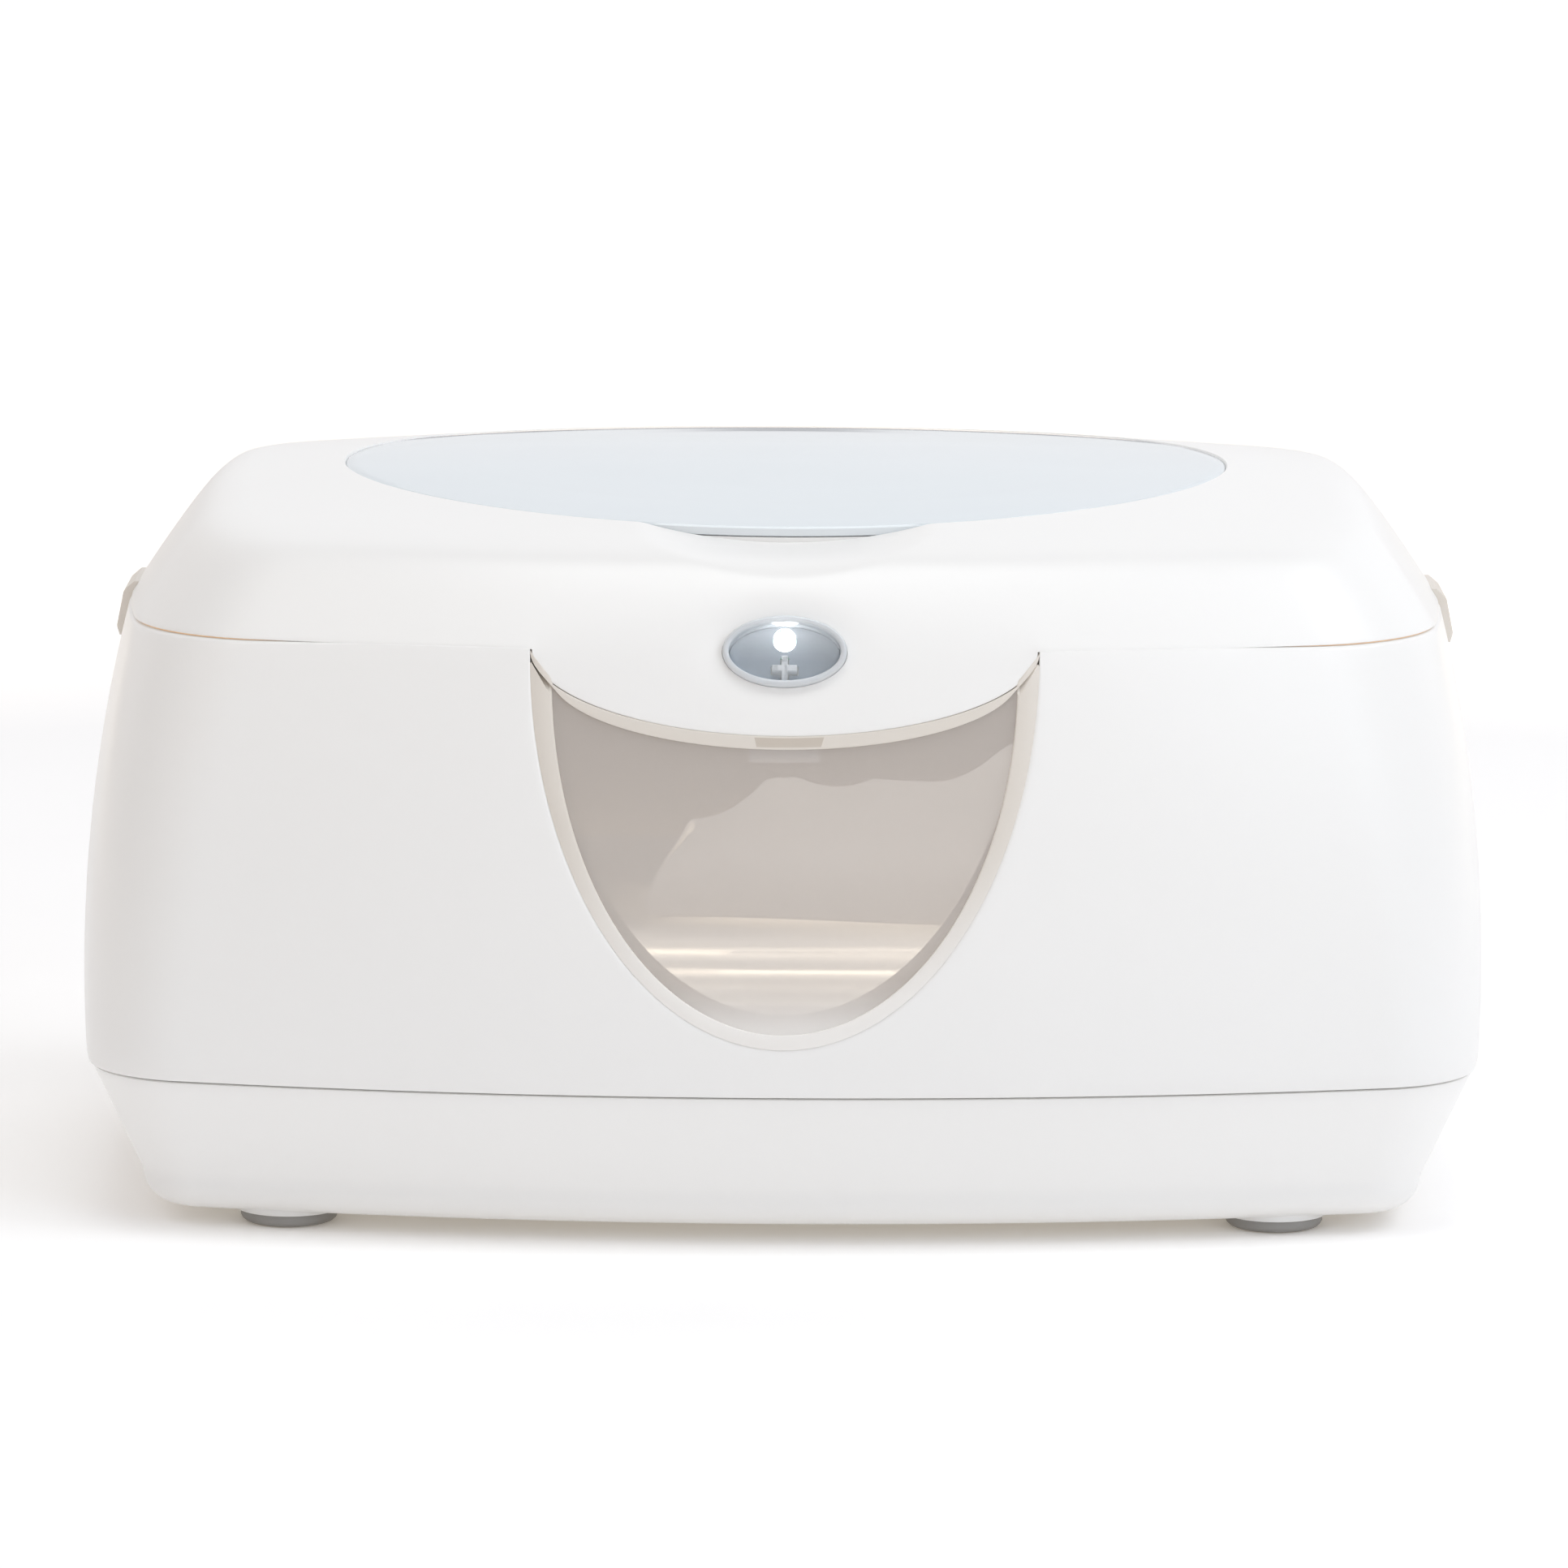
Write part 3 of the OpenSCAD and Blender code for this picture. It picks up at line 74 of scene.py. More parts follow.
def ring(z, inset=0.0, hw=window_hw):
    """One outline of the body at height z, set in from its skin; both may differ all round."""
    z, inset = np.broadcast_to(z, ring_n).astype(float), np.broadcast_to(inset, ring_n)
    up = (z - pan_z1) / (lid_z - pan_z1)
    a, b = half(body_w, z) - inset, half(body_d, z) - inset
    front_r = lerp(*front_rs, np.minimum(1, up)) - inset
    side_r = lerp(*side_rs, np.minimum(1, up)) - inset
    corner_r = np.maximum(4, lerp(*corner_rs, np.clip(up, 0, 1)) - inset)
    c1y, c2x = front_r - b, a - side_r
    r1, r2 = front_r - corner_r, side_r - corner_r
    span = np.hypot(c2x, c1y)
    ux, uy = c2x / span, -c1y / span
    s = (span ** 2 + r1 ** 2 - r2 ** 2) / (2 * span)
    h = np.sqrt(r1 ** 2 - s ** 2)
    cx, cy = s * ux - h * uy, c1y + s * uy + h * ux
    t1x, t1y = cx * front_r / r1, (cy - c1y) * front_r / r1 + c1y
    t2x, t2y = (cx - c2x) * side_r / r2 + c2x, cy * side_r / r2
    g1, g2 = np.arctan2(t1y - cy, t1x - cx), np.arctan2(t2y - cy, t2x - cx)
    front_x = np.where(fold <= notch_n, hw * np.sin(np.pi / 2 * fold / notch_n),
                       lerp(hw, t1x, (fold - notch_n) / arc_n))
    front_y = c1y - np.sqrt(np.maximum(0, front_r ** 2 - front_x ** 2))
    k = fold - notch_n - arc_n
    g = lerp(g1, g2, np.clip(k / corner_n, 0, 1))
    w = lerp(np.arcsin(t2y / side_r), 0, np.clip((k - corner_n) / side_n, 0, 1))
    x = np.select([k <= 0, k <= corner_n], [front_x, cx + corner_r * np.cos(g)],
                  c2x + side_r * np.cos(w))
    y = np.select([k <= 0, k <= corner_n], [front_y, cy + corner_r * np.sin(g)],
                  side_r * np.sin(w))
    return np.stack([sign_x * x, sign_y * y, z], axis=1)


def placed(name, data):
    """An object with the given data, in the scene."""
    made = bpy.data.objects.new(name, data)
    bpy.context.scene.collection.objects.link(made)
    return made


def shaded(mesh, sharp=32):
    """Smooth shading, with sharp edges where faces meet more steeply than the angle."""
    mesh.shade_smooth()
    mesh.set_sharp_from_angle(angle=np.radians(sharp))
    return mesh


def applied(made):
    """Turns an object's modifiers into a plain mesh."""
    mesh = bpy.data.meshes.new_from_object(
        made.evaluated_get(bpy.context.evaluated_depsgraph_get()))
    made.modifiers.clear()
    made.data = mesh
    return mesh


def piece(name, points, faces, sharp=32):
    """A smooth-shaded mesh object at the origin, from its points and faces."""
    mesh = bpy.data.meshes.new(name)
    mesh.from_pydata([tuple(map(float, p)) for p in points], [], faces)
    mesh.validate()
    return placed(name, shaded(mesh, sharp))


def edited(name, shape, sharp=32):
    """A smooth-shaded mesh object from an edit mesh, which is freed."""
    mesh = bpy.data.meshes.new(name)
    shape.to_mesh(mesh)
    shape.free()
    return placed(name, shaded(mesh, sharp))


def shell(name, rows, closed=False, low=None, high=None, sharp=32):
    """A skin through a stack of rings, closed on itself or capped with fans to two points."""
    rows = [np.asarray(r, float) for r in rows]
    n, m = len(rows[0]), len(rows)
    points = np.concatenate(rows + ([] if closed else [np.array([low, high], float)])) / 1000
    faces = [(j * n + k, j * n + (k + 1) % n, (j + 1) % m * n + (k + 1) % n, (j + 1) % m * n + k)
             for j in range(m if closed else m - 1) for k in range(n)]
    if not closed:
        faces += [(m * n, (k + 1) % n, k) for k in range(n)]
        faces += [(m * n + 1, (m - 1) * n + k, (m - 1) * n + (k + 1) % n) for k in range(n)]
    return piece(name, points, faces, sharp)


def join(name, parts, sharp=32):
    """Several meshes in one, each keeping its shape."""
    both = bmesh.new()
    for part in parts:
        both.from_mesh(part.data)
        bpy.data.objects.remove(part)
    return edited(name, both, sharp)


def carve(target, tools, sharp=32, use_self=False):
    """Cuts the tools out of the target, and leaves a plain mesh."""
    for tool in tools:
        change = target.modifiers.new("carve", "BOOLEAN")
        change.operation, change.object, change.solver = "DIFFERENCE", tool, "EXACT"
        change.use_self = use_self
    shaded(applied(target), sharp)
    for tool in tools:
        bpy.data.objects.remove(tool)
    return target


def linear(hex_colour):
    """An sRGB hex value as a linear colour."""
    c = [int(hex_colour[i:i + 2], 16) / 255 for i in (1, 3, 5)]
    return (*[v / 12.92 if v <= 0.04045 else ((v + 0.055) / 1.055) ** 2.4 for v in c], 1.0)


def add(tree, kind, settings=None, links=None, **properties):
    """Adds one node, with its sockets' values, the sockets linked to them, and its properties."""
    made = tree.nodes.new(kind)
    for key, value in properties.items():
        setattr(made, key, value)
    for key, value in (settings or {}).items():
        made.inputs[key].default_value = value
    for key, source in (links or {}).items():
        tree.links.new(source, made.inputs[key])
    return made


def material(name):
    """A new material, its node tree and the place on the object that its patterns go by."""
    made = bpy.data.materials.new(name)
    made.use_nodes = True
    tree = made.node_tree
    tree.nodes.clear()
    return made, tree, add(tree, "ShaderNodeTexCoord").outputs["Object"]


def coat(made, *looks):
    """Gives an object its materials, in place of any that it had."""
    made.data.materials.clear()
    for look in looks:
        made.data.materials.append(look)


def noise(tree, scale, detail, place):
    """Cloudy values between 0 and 1."""
    return add(tree, "ShaderNodeTexNoise", {"Scale": scale, "Detail": detail},
               {"Vector": place}).outputs["Fac"]


def blend(tree, low, high, part):
    """Mixes two hex colours: low where part is 0 and high where it is 1."""
    return add(tree, "ShaderNodeMix", {6: linear(low), 7: linear(high)}, {0: part},
               data_type="RGBA").outputs[2]


def remap(tree, value, limits, **properties):
    """Carries a value from one pair of limits to another."""
    names = ("From Min", "From Max", "To Min", "To Max")
    return add(tree, "ShaderNodeMapRange", dict(zip(names, limits)), {"Value": value},
               **properties).outputs["Result"]


def bump(tree, height, strength, distance, **links):
    """Tilts the surface by a height, over another bump if that is linked as Normal."""
    return add(tree, "ShaderNodeBump", {"Strength": strength, "Distance": distance},
               {"Height": height, **links}).outputs["Normal"]


def surfaced(tree, values, links):
    """Adds the surface itself and joins it to the material's output."""
    surface = add(tree, "ShaderNodeBsdfPrincipled", values, links)
    add(tree, "ShaderNodeOutputMaterial", None, {"Surface": surface.outputs["BSDF"]})


def moulding(name, colour, tint, roughness, grain=0.0, grain_mm=0.6, sway=0.0, **sockets):
    """Moulded plastic or rubber: faint cloudy tint, uneven gloss, fine grain, slow sink marks."""
    made, tree, place = material(name)
    tone = blend(tree, colour, tint, noise(tree, 22.0, 3.0, place))
    gloss = remap(tree, noise(tree, 9.0, 4.0, place), (0, 1, roughness * 0.85, roughness * 1.2))
    grained = bump(tree, noise(tree, 1000 / grain_mm, 2.0, place), grain, 0.00005)
    swayed = bump(tree, noise(tree, 28.0, 1.0, place), sway, 0.0004, Normal=grained)
    surfaced(tree, sockets, {"Base Color": tone, "Roughness": gloss, "Normal": swayed})
    return made


# White ABS, high-gloss tool: bright, faintly warm, with soft wide highlights and a slow ripple
white_abs = moulding("white_abs_moulded", "#f6f5f3", "#f5f4f2", 0.34, grain=0.05, sway=0.05,
                     IOR=1.53)
edge_r, pan_t, pan_floor = 7, 2.5, 6.1  # lower edge's radius, wall, level of the inner floor


def pan_in(z):
    return 0.8 + 0.46 * (pan_z1 - z)


def pan_ring(z, inset):
    made = ring(pan_z1, pan_in(z) + inset)
    made[:, 2] = z
    return made


def pan_edge(angle, floor, inset):
    """Ring on the rounded lower edge that starts on the given floor level."""
    angle = np.radians(angle)
    made = ring(pan_z1, pan_in(pan_z0 + edge_r) + edge_r * (1 - np.cos(angle)) + inset)
    made[:, 2] = floor + edge_r * (1 - np.sin(angle))
    return made


rows = [pan_edge(90, pan_z0, 30), pan_edge(90, pan_z0, 12)]
rows += [pan_edge(a, pan_z0, 0) for a in (90, 80, 70, 60, 50, 40, 30, 20, 10)]
rows += [pan_ring(z, 0) for z in np.linspace(pan_z0 + edge_r, pan_z1 - 0.5, 12)]
rows += [pan_ring(pan_z1 - 0.15, 0.15), pan_ring(pan_z1, 0.5), pan_ring(pan_z1, 2.1)]
rows += [pan_ring(z, pan_t) for z in np.linspace(pan_z1 - 0.4, pan_z0 + 9.5, 6)]
rows += [pan_edge(a, pan_floor, pan_t) for a in (20, 45, 70, 90)] + [pan_edge(90, pan_floor, 20)]
tray = shell("base_tray", rows, low=(0, 0, pan_z0), high=(0, 0, pan_floor))


def put(made, points):
    """Gives an object's points their places, in metres."""
    made.data.vertices.foreach_set("co", points.ravel())
    made.data.update()


def lathe(name, profile, centre=(0, 0, 0), axis="z", around=48):
    """A turned shape: profile points are (radius, height), from one end of the axis on."""
    angle = np.linspace(0, 2 * np.pi, around, endpoint=False)
    profile = np.array(profile, float)
    inner = profile[profile[:, 0] > 1e-6]
    rows = [np.stack([r * np.cos(angle), r * np.sin(angle), np.full(around, h)], axis=1)
            for r, h in inner]
    made = shell(name, rows, profile[0, 0] > 1e-6, (0, 0, profile[0, 1]), (0, 0, profile[-1, 1]))
    points = np.array([v.co for v in made.data.vertices])
    order = {"x": [2, 0, 1], "y": [1, 2, 0], "z": [0, 1, 2]}[axis]
    put(made, points[:, order] + np.array(centre) / 1000)
    return made


post_x, post_y = 120.065, 63.312
foot_x, foot_y = 101.0, 62.5
corners = [(sx, sy) for sx in (-1, 1) for sy in (-1, 1)]
collar = [(9.5, 0), (10.9, 0), (11.0, 0.15), (11.0, 1.4), (9.5, 1.4)]
screw_tube = [(3.2, pan_z0 - 0.05), (3.4, pan_z0 - 0.05), (4.5, 6.0), (4.5, pan_z1 - 0.3),
              (4.2, pan_z1), (1.8, pan_z1), (1.7, 26.8), (3.2, 26.7)]
parts = [tray]
for sx, sy in corners:
    parts += [lathe("collar", collar, (sx * foot_x, sy * foot_y, pan_z0 - 0.8)),
              lathe("screw_tube", screw_tube, (sx * post_x, sy * post_y, 0))]
base_tray = join("base_tray", parts)
coat(base_tray, white_abs)
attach(base_tray, "housing")
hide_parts("base_pan")

# ---------------------------------------------------------------------------------------------
# Feet: four grey thermoplastic-rubber pads, each pushed by its plug into a hole in the pan.
# Each is one turned profile, set on the corners by a node tree that sets out the screws too.

foot_rubber = moulding("foot_rubber_moulded", "#a9a7a4", "#9c9a97", 0.62, grain=0.5, grain_mm=0.5,
                       IOR=1.5)
foot_profile = [(0, 0), (7.2, 0), (8.6, 0.12), (9.2, 0.35), (9.7, 0.8), (9.98, 1.4), (10, 2.0),
                (10, 2.5), (9.85, 2.75), (9.5, 2.8), (3.5, 2.8), (3.5, 7.1), (2.5, 8.1), (0, 8.1)]


def node_group(name, **kinds):
    """A Geometry Nodes tree with the given inputs and one output, Made."""
    tree = bpy.data.node_groups.new(name, "GeometryNodeTree")
    for label, kind in kinds.items():
        tree.interface.new_socket(label, socket_type="NodeSocket" + kind, in_out="INPUT")
    tree.interface.new_socket("Made", socket_type="NodeSocketGeometry", in_out="OUTPUT")
    return tree, add(tree, "NodeGroupInput").outputs


def grown(made, tree, **values):
    """Runs a node tree with the given inputs on an object, and keeps the result as its mesh."""
    change = made.modifiers.new(tree.name, "NODES")
    change.node_group = tree
    for item in tree.interface.items_tree:
        if item.name in values:
            change[item.identifier] = values[item.name]
    return applied(made)


corner_tree, given = node_group("on_four_corners", Shape="Geometry", Across="Float", Back="Float")
plane = add(corner_tree, "GeometryNodeMeshGrid", {"Vertices X": 2, "Vertices Y": 2},
            {"Size X": given["Across"], "Size Y": given["Back"]})
spots = add(corner_tree, "GeometryNodeInstanceOnPoints", None,
            {"Points": plane.outputs["Mesh"], "Instance": given["Shape"]})
real = add(corner_tree, "GeometryNodeRealizeInstances", None,
           {"Geometry": spots.outputs["Instances"]})
add(corner_tree, "NodeGroupOutput", None, {"Made": real.outputs["Geometry"]})


def repeated(name, source, across, back, look):
    """Sets a shape on the four corners of a rectangle."""
    made = placed(name, source.data.copy())
    shaded(grown(made, corner_tree, Across=across / 1000, Back=back / 1000)).name = name
    coat(made, look)
    bpy.data.objects.remove(source)
    return made


feet = repeated("feet", lathe("foot", foot_profile), 2 * foot_x, 2 * foot_y, foot_rubber)
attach(feet, "housing")
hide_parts("foot_front_left", "foot_front_right", "foot_rear_left", "foot_rear_right")

# ---------------------------------------------------------------------------------------------
# Screws: zinc-plated steel, pan heads with a cross recess. Four hold the base, four the board
# and four the lid's liner; all are one shape in three sizes, each four on a rectangle.

zinc, tree, place = material("zinc_plated_steel")
speck = noise(tree, 700.0, 3.0, place)
surfaced(tree, {"Metallic": 1.0}, {"Base Color": blend(tree, "#b9bcc0", "#9da1a6", speck),
                                   "Roughness": remap(tree, speck, (0, 1, 0.28, 0.46))})


def screw(name, d, head_d, head_h, length):
    """One pan-head screw, point up: the head's seat is at 0 and its top at -head_h."""
    turned = [(0, -head_h), (head_d * 0.2, -head_h), (head_d * 0.36, -head_h * 0.93),
              (head_d * 0.46, -head_h * 0.7), (head_d * 0.5, -head_h * 0.4), (head_d * 0.5, 0),
              (d * 0.5, 0)]
    pitch = d * 0.3
    for i in range(int((length - d) / pitch)):
        turned += [(d * 0.42, pitch * (i + 0.3)), (d * 0.5, pitch * (i + 0.8))]
    turned += [(d * 0.42, length - d * 0.8), (0.02, length), (0, length)]
    cut = bmesh.new()
    for w, l in ((d * 0.22, head_d * 0.6), (head_d * 0.6, d * 0.22)):
        bmesh.ops.create_cube(cut, size=0.001, matrix=Matrix.Diagonal((w, l, head_h * 1.1, 1)))
    for v in cut.verts:
        v.co.z -= head_h / 1000
    return carve(lathe(name, turned, around=24), [edited("recess", cut)], use_self=True)


def screw_set(name, shape, across, back, centre, body, node, turn=False):
    """A screw on each corner of a rectangle; turned ones point down."""
    made = repeated(name, shape, across, back, zinc)
    points = np.array([v.co for v in made.data.vertices]) * ((1, -1, -1) if turn else (1, 1, 1))
    put(made, points + np.array(centre) / 1000)
    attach(made, body)
    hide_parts(node)


lid_post_x, lid_post_y = 95.5, 46.0
screw_set("base_screw_set", screw("base_screw", 3, 5.8, 2.2, 14.4), 2 * post_x, 2 * post_y,
          (0, 0, pan_z1 - 6), "housing", "base_screws")
screw_set("board_screw_set", screw("board_screw", 2.5, 4.75, 1.6, 5.1), 56, 32, (30, 0, 13.2),
          "housing", "board_screws", turn=True)
screw_set("lid_screw_set", screw("lid_screw", 3, 5.8, 2.2, 9.8), 2 * lid_post_x,
          2 * lid_post_y, (0, 0, lid_z + 2.6), "lid", "lid_screws")

# ---------------------------------------------------------------------------------------------
# Outer casing: one bowed shell in the same white ABS, open at the top and bottom, with a
# half-oval cut into its front edge for the window, a ledge inside for the tub, and hinge knuckles.

window_depth, casing_t, flange_z, ledge_w = 79.3, 2.5, 118.8, 3.0
rim_rise = 0.6  # the seam under the lid is a hair's width in the middle and opens at the corners
foot_hw = 66.0  # how far the window's columns of points spread at the casing's lower edge
near_mid = 1 - smooth((np.abs(ring(casing_z1)[:, 0]) - 75) / 42)
rim_round = np.where(bay > 0, lerp(0.35, 1.2, smooth(bay / 0.2)), lerp(0.9, 0.3, near_mid))
rim_sunk = np.where(bay > 0, lerp(0.2, 0.45, smooth(bay / 0.2)), rim_round)


def cut_ring(e, z_low, t, inset):
    """Casing outline, t of the way from the level z_low to the rim, less the distance e."""
    rim = casing_z1 + rim_rise * near_mid - e - window_depth * bay
    return ring(lerp(z_low, rim, t), inset, lerp(foot_hw, window_hw + e, t))


skin_z = casing_z0 + 0.45
rows = [ring(casing_z0, casing_t, foot_hw), ring(casing_z0, 0.45, foot_hw),
        ring(casing_z0 + 0.12, 0.12, foot_hw)]
rows += [cut_ring(rim_round, skin_z, t, 0.0) for t in np.linspace(0, 1, 26)]
rows += [cut_ring(rim_round * (1 - np.sin(a)), skin_z, 1, rim_sunk * (1 - np.cos(a)))
         for a in np.radians((18, 36, 54, 72, 90))]
rows += [cut_ring(0, casing_z0, 1, casing_t - 0.2), cut_ring(0.2, casing_z0, 1, casing_t)]
beside = np.where(in_front | ((sign_y > 0) & (fold == notch_n)), 0.0, 1.0)
for z, ledge in ((flange_z + 0.02, 0), (flange_z, ledge_w), (flange_z - 3, ledge_w),
                 (flange_z - 6, 0)):
    f = (z - casing_z0) / (casing_z1 - casing_z0)
    rows.append(cut_ring(0.2, casing_z0, f, casing_t + ledge * beside))
rows += [cut_ring(0.2, casing_z0, f, casing_t) for f in np.linspace(0.85, 0, 12)[:-1]]
casing = shell("bowed_casing", rows, closed=True)

hinge_y, hinge_z, knuckle_r, knuckle_bore = 92.4, 122.05, 4.0, 1.55
casing_knuckles, lid_knuckle = ((52.0, 59.0), (71.6, 78.6)), (59.3, 71.3)


def rear_y(x, z):
    r = lerp(*front_rs, min(1, (z - pan_z1) / (lid_z - pan_z1)))
    return half(body_d, z) - r + np.sqrt(r * r - x * x)


def prism(n, layers=2):
    """Faces of a stack of outlines of n points each, with both ends closed."""
    faces = [(j * n + i, j * n + (i + 1) % n, (j + 1) * n + (i + 1) % n, (j + 1) * n + i)
             for j in range(layers - 1) for i in range(n)]
    return faces + [tuple(range(n))[::-1], tuple(range((layers - 1) * n, layers * n))]


def extruded(name, outline, x0, x1):
    """A flat outline in y and z, swept along x from x0 to x1."""
    points = [(x / 1000, y / 1000, z / 1000) for x in (x0, x1) for y, z in outline]
    y, z = np.transpose(outline)
    area = np.sum(y * np.roll(z, -1) - np.roll(y, -1) * z)
    faces = prism(len(outline))
    return piece(name, points, [f[::-1] for f in faces] if area < 0 else faces)


def knuckle(x0, x1, web, q=0.35):
    """A turned barrel along x, with ends eased by q and a bore, and the web that holds it."""
    r = knuckle_r
    barrel = [(knuckle_bore, x0), (r - q, x0), (r - 0.3 * q, x0 + 0.3 * q), (r, x0 + q),
              (r, x1 - q), (r - 0.3 * q, x1 - 0.3 * q), (r - q, x1), (knuckle_bore, x1)]
    return [lathe("knuckle", barrel, (0, hinge_y, hinge_z), axis="x"),
            extruded("knuckle_web", web, x0 + 0.1, x1 - 0.1)]


def casing_web(x):
    y = rear_y(x, casing_z1) - casing_t / 2
    arc = [(hinge_y + (knuckle_r - 0.05) * np.cos(np.radians(a)),
            hinge_z + (knuckle_r - 0.05) * np.sin(np.radians(a))) for a in (-20, -45, -75)]
    sweep = [(lerp(y + 1.4, arc[0][0], t ** 2.2), lerp(casing_z1 - 14, arc[0][1], t)) for t in
             np.linspace(0, 0.96, 9)]
    return [(y, casing_z1 - 0.4), (y, casing_z1 - 14), *sweep, arc[0],
            (hinge_y + 1.7, hinge_z - 3.2), (hinge_y - 0.6, hinge_z - 3.5),
            (hinge_y - 3.4, casing_z1 - 0.4)]


# The notches for the grip ears and the hole for the socket are cut after the shell is made.
ear_hw, ear_gap, jack_x, jack_z = 10.5, 0.05, 70.0, 46.2


def block(name, x, y, z):
    """A plain box between pairs of limits, used as a cutter."""
    made = bmesh.new()
    bmesh.ops.create_cube(made, size=1)
    for v in made.verts:
        v.co = [lerp(lim[0], lim[1], c + 0.5) / 1000 for lim, c in zip((x, y, z), v.co)]
    return edited(name, made)


def ear_notches(z0, z1):
    return [block("ear_notch", (s * 125, s * 160), (-ear_hw - 0.15, ear_hw + 0.15), (z0, z1))
            for s in (-1, 1)]


socket_y = rear_y(jack_x, jack_z)
carve(casing, ear_notches(flange_z - ear_gap, casing_z1 + 1) +
      [lathe("socket_hole", [(0, -6), (4.6, -6), (4.6, 3), (5.2, 3.4), (5.2, 6), (0, 6)],
             (jack_x, socket_y - 3.2, jack_z), axis="y")])
parts = [casing]
for side in (-1, 1):
    for x0, x1 in casing_knuckles:
        lo, hi = sorted((side * x0, side * x1))
        parts += knuckle(lo, hi, casing_web((lo + hi) / 2))
screw_post = [(1.6, 0), (4.2, 0), (4.5, 0.3), (4.5, 11.7), (4.2, 12), (1.6, 12)]
parts += [lathe("screw_post", screw_post, (sx * post_x, sy * post_y, casing_z0))
          for sx, sy in corners]
bowed_casing = join("bowed_casing", parts)
coat(bowed_casing, white_abs)
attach(bowed_casing, "housing")
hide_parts("outer_casing")

# ---------------------------------------------------------------------------------------------
# Inner tub: natural polypropylene, 2 mm thick and milky, hung in the casing by its flange.
# Its front swells into a bay: a clear pane in a raised, frosted border that fills the window.

tub_t, tub_floor, bay_hw, tongue_hw, tongue_drop = 2.0, 35.2, 51.15, 50.85, 16.5
lid_lean = 0.38  # how far the lid's wall, and the ears in it, lean in for every mm of height


def height_in(tree):
    place = add(tree, "ShaderNodeTexCoord").outputs["Object"]
    return add(tree, "ShaderNodeSeparateXYZ", None, {"Vector": place}).outputs["Z"]


def milky(name, high, low, alpha, roughness, grain=0.0, levels=(60.0, 100.0), **sockets):
    """Plastic whose colour and cover may change with height: painted light and shade, standing in
    for the light that fills it. (high, low) pairs, levels in mm.
    """
    made = moulding(name, high, high, roughness, grain, 0.8, **sockets)
    tree = made.node_tree
    surface = tree.nodes["Principled BSDF"]
    part = remap(tree, height_in(tree), (levels[0] / 1000, levels[1] / 1000, 0, 1),
                 interpolation_type="SMOOTHSTEP")
    cover = remap(tree, part, (0, 1, alpha[1], alpha[0]))
    tree.links.new(blend(tree, low, high, part), surface.inputs["Base Color"])
    tree.links.new(cover, surface.inputs["Alpha"])
    return made


tub_milky = milky("natural_polypropylene", "#ece7df", "#ece7df", (0.86, 0.86), 0.38, 0.3,
                  IOR=1.49)
# painted light: the pane is painted lighter and more opaque low down, where the lit wipes behind it
# show through
pane_clear = milky("polypropylene_clear_pane", "#dcd4cf", "#faf7f3", (0.42, 0.84), 0.12, 0.05,
                   (44.0, 58.0), IOR=1.49)
# painted shade and light: the border is painted darker at its top and lighter low down, as light
# falls on it
band_frost = milky("polypropylene_frosted_border", "#e6dfd6", "#fbf8f4", (0.94, 0.94), 0.34, 0.2,
                   (44.0, 90.0), IOR=1.49)
# a thick edge of the same plastic, tinted warm and glowing faintly: painted light, standing in for
# light that has gone far enough inside it to turn warm
lip_painted_glow = moulding("polypropylene_lip_painted_glow", "#ead9c3", "#e6d3ba", 0.4, IOR=1.49,
                     **{"Emission Color": linear("#e2ab72"), "Emission Strength": 0.34})
# painted shade: the border is darker where the latch's strike lies behind it
slot_shade = milky("polypropylene_painted_shade_over_strike", "#d2c8bc", "#d2c8bc", (0.92, 0.92), 0.34, 0.2,
                   IOR=1.49)
wall, pane, border, lip, strike = range(5)  # the order of the tub's materials


def tub_in(z):
    return lerp(27, 9, (z - tub_floor) / (flange_z - tub_floor))


bay_low_z = casing_z1 + rim_rise * (bay > 0) - (window_depth + 0.12) * bay
bay_top_z = lid_z - 0.12 - (tongue_drop + 0.03) * bay
# the pane inside the border: half its width, its corners' level, its lowest and topmost levels
inner_hw, inner_top, pane_low, pane_high = 46.6, casing_z1 - 4.9, 46.0, 103.1
inner_low_z = inner_top - (inner_top - pane_low) * bay
inner_up_z = inner_top - (inner_top - pane_high) * bay
flange_edge = casing_t + 0.3


def bay_ring(z, inset, hw, z_beside, inset_beside):
    return ring(np.where(in_front, z, z_beside), np.where(in_front, inset, inset_beside), hw)


def lip_ring(drop, inset, narrow, z_front, z_rear, inset_beside):
    """Ring near the bay's top, whose level beside the bay is one in front and another behind."""
    return bay_ring(bay_top_z - drop, inset, bay_hw - narrow,
                    np.where(at_front, z_front, z_rear), inset_beside)


def wall_ring(f, s, hw_low=40.0):
    top = np.where(in_front, bay_low_z + s, flange_z - (1 if s else 0))
    z = lerp(tub_floor + s + 2, top, f)
    return ring(z, tub_in(z) + s, lerp(hw_low, bay_hw - s, f))


fl0, fl1, lip_z = flange_z, flange_z + 2, 122.3
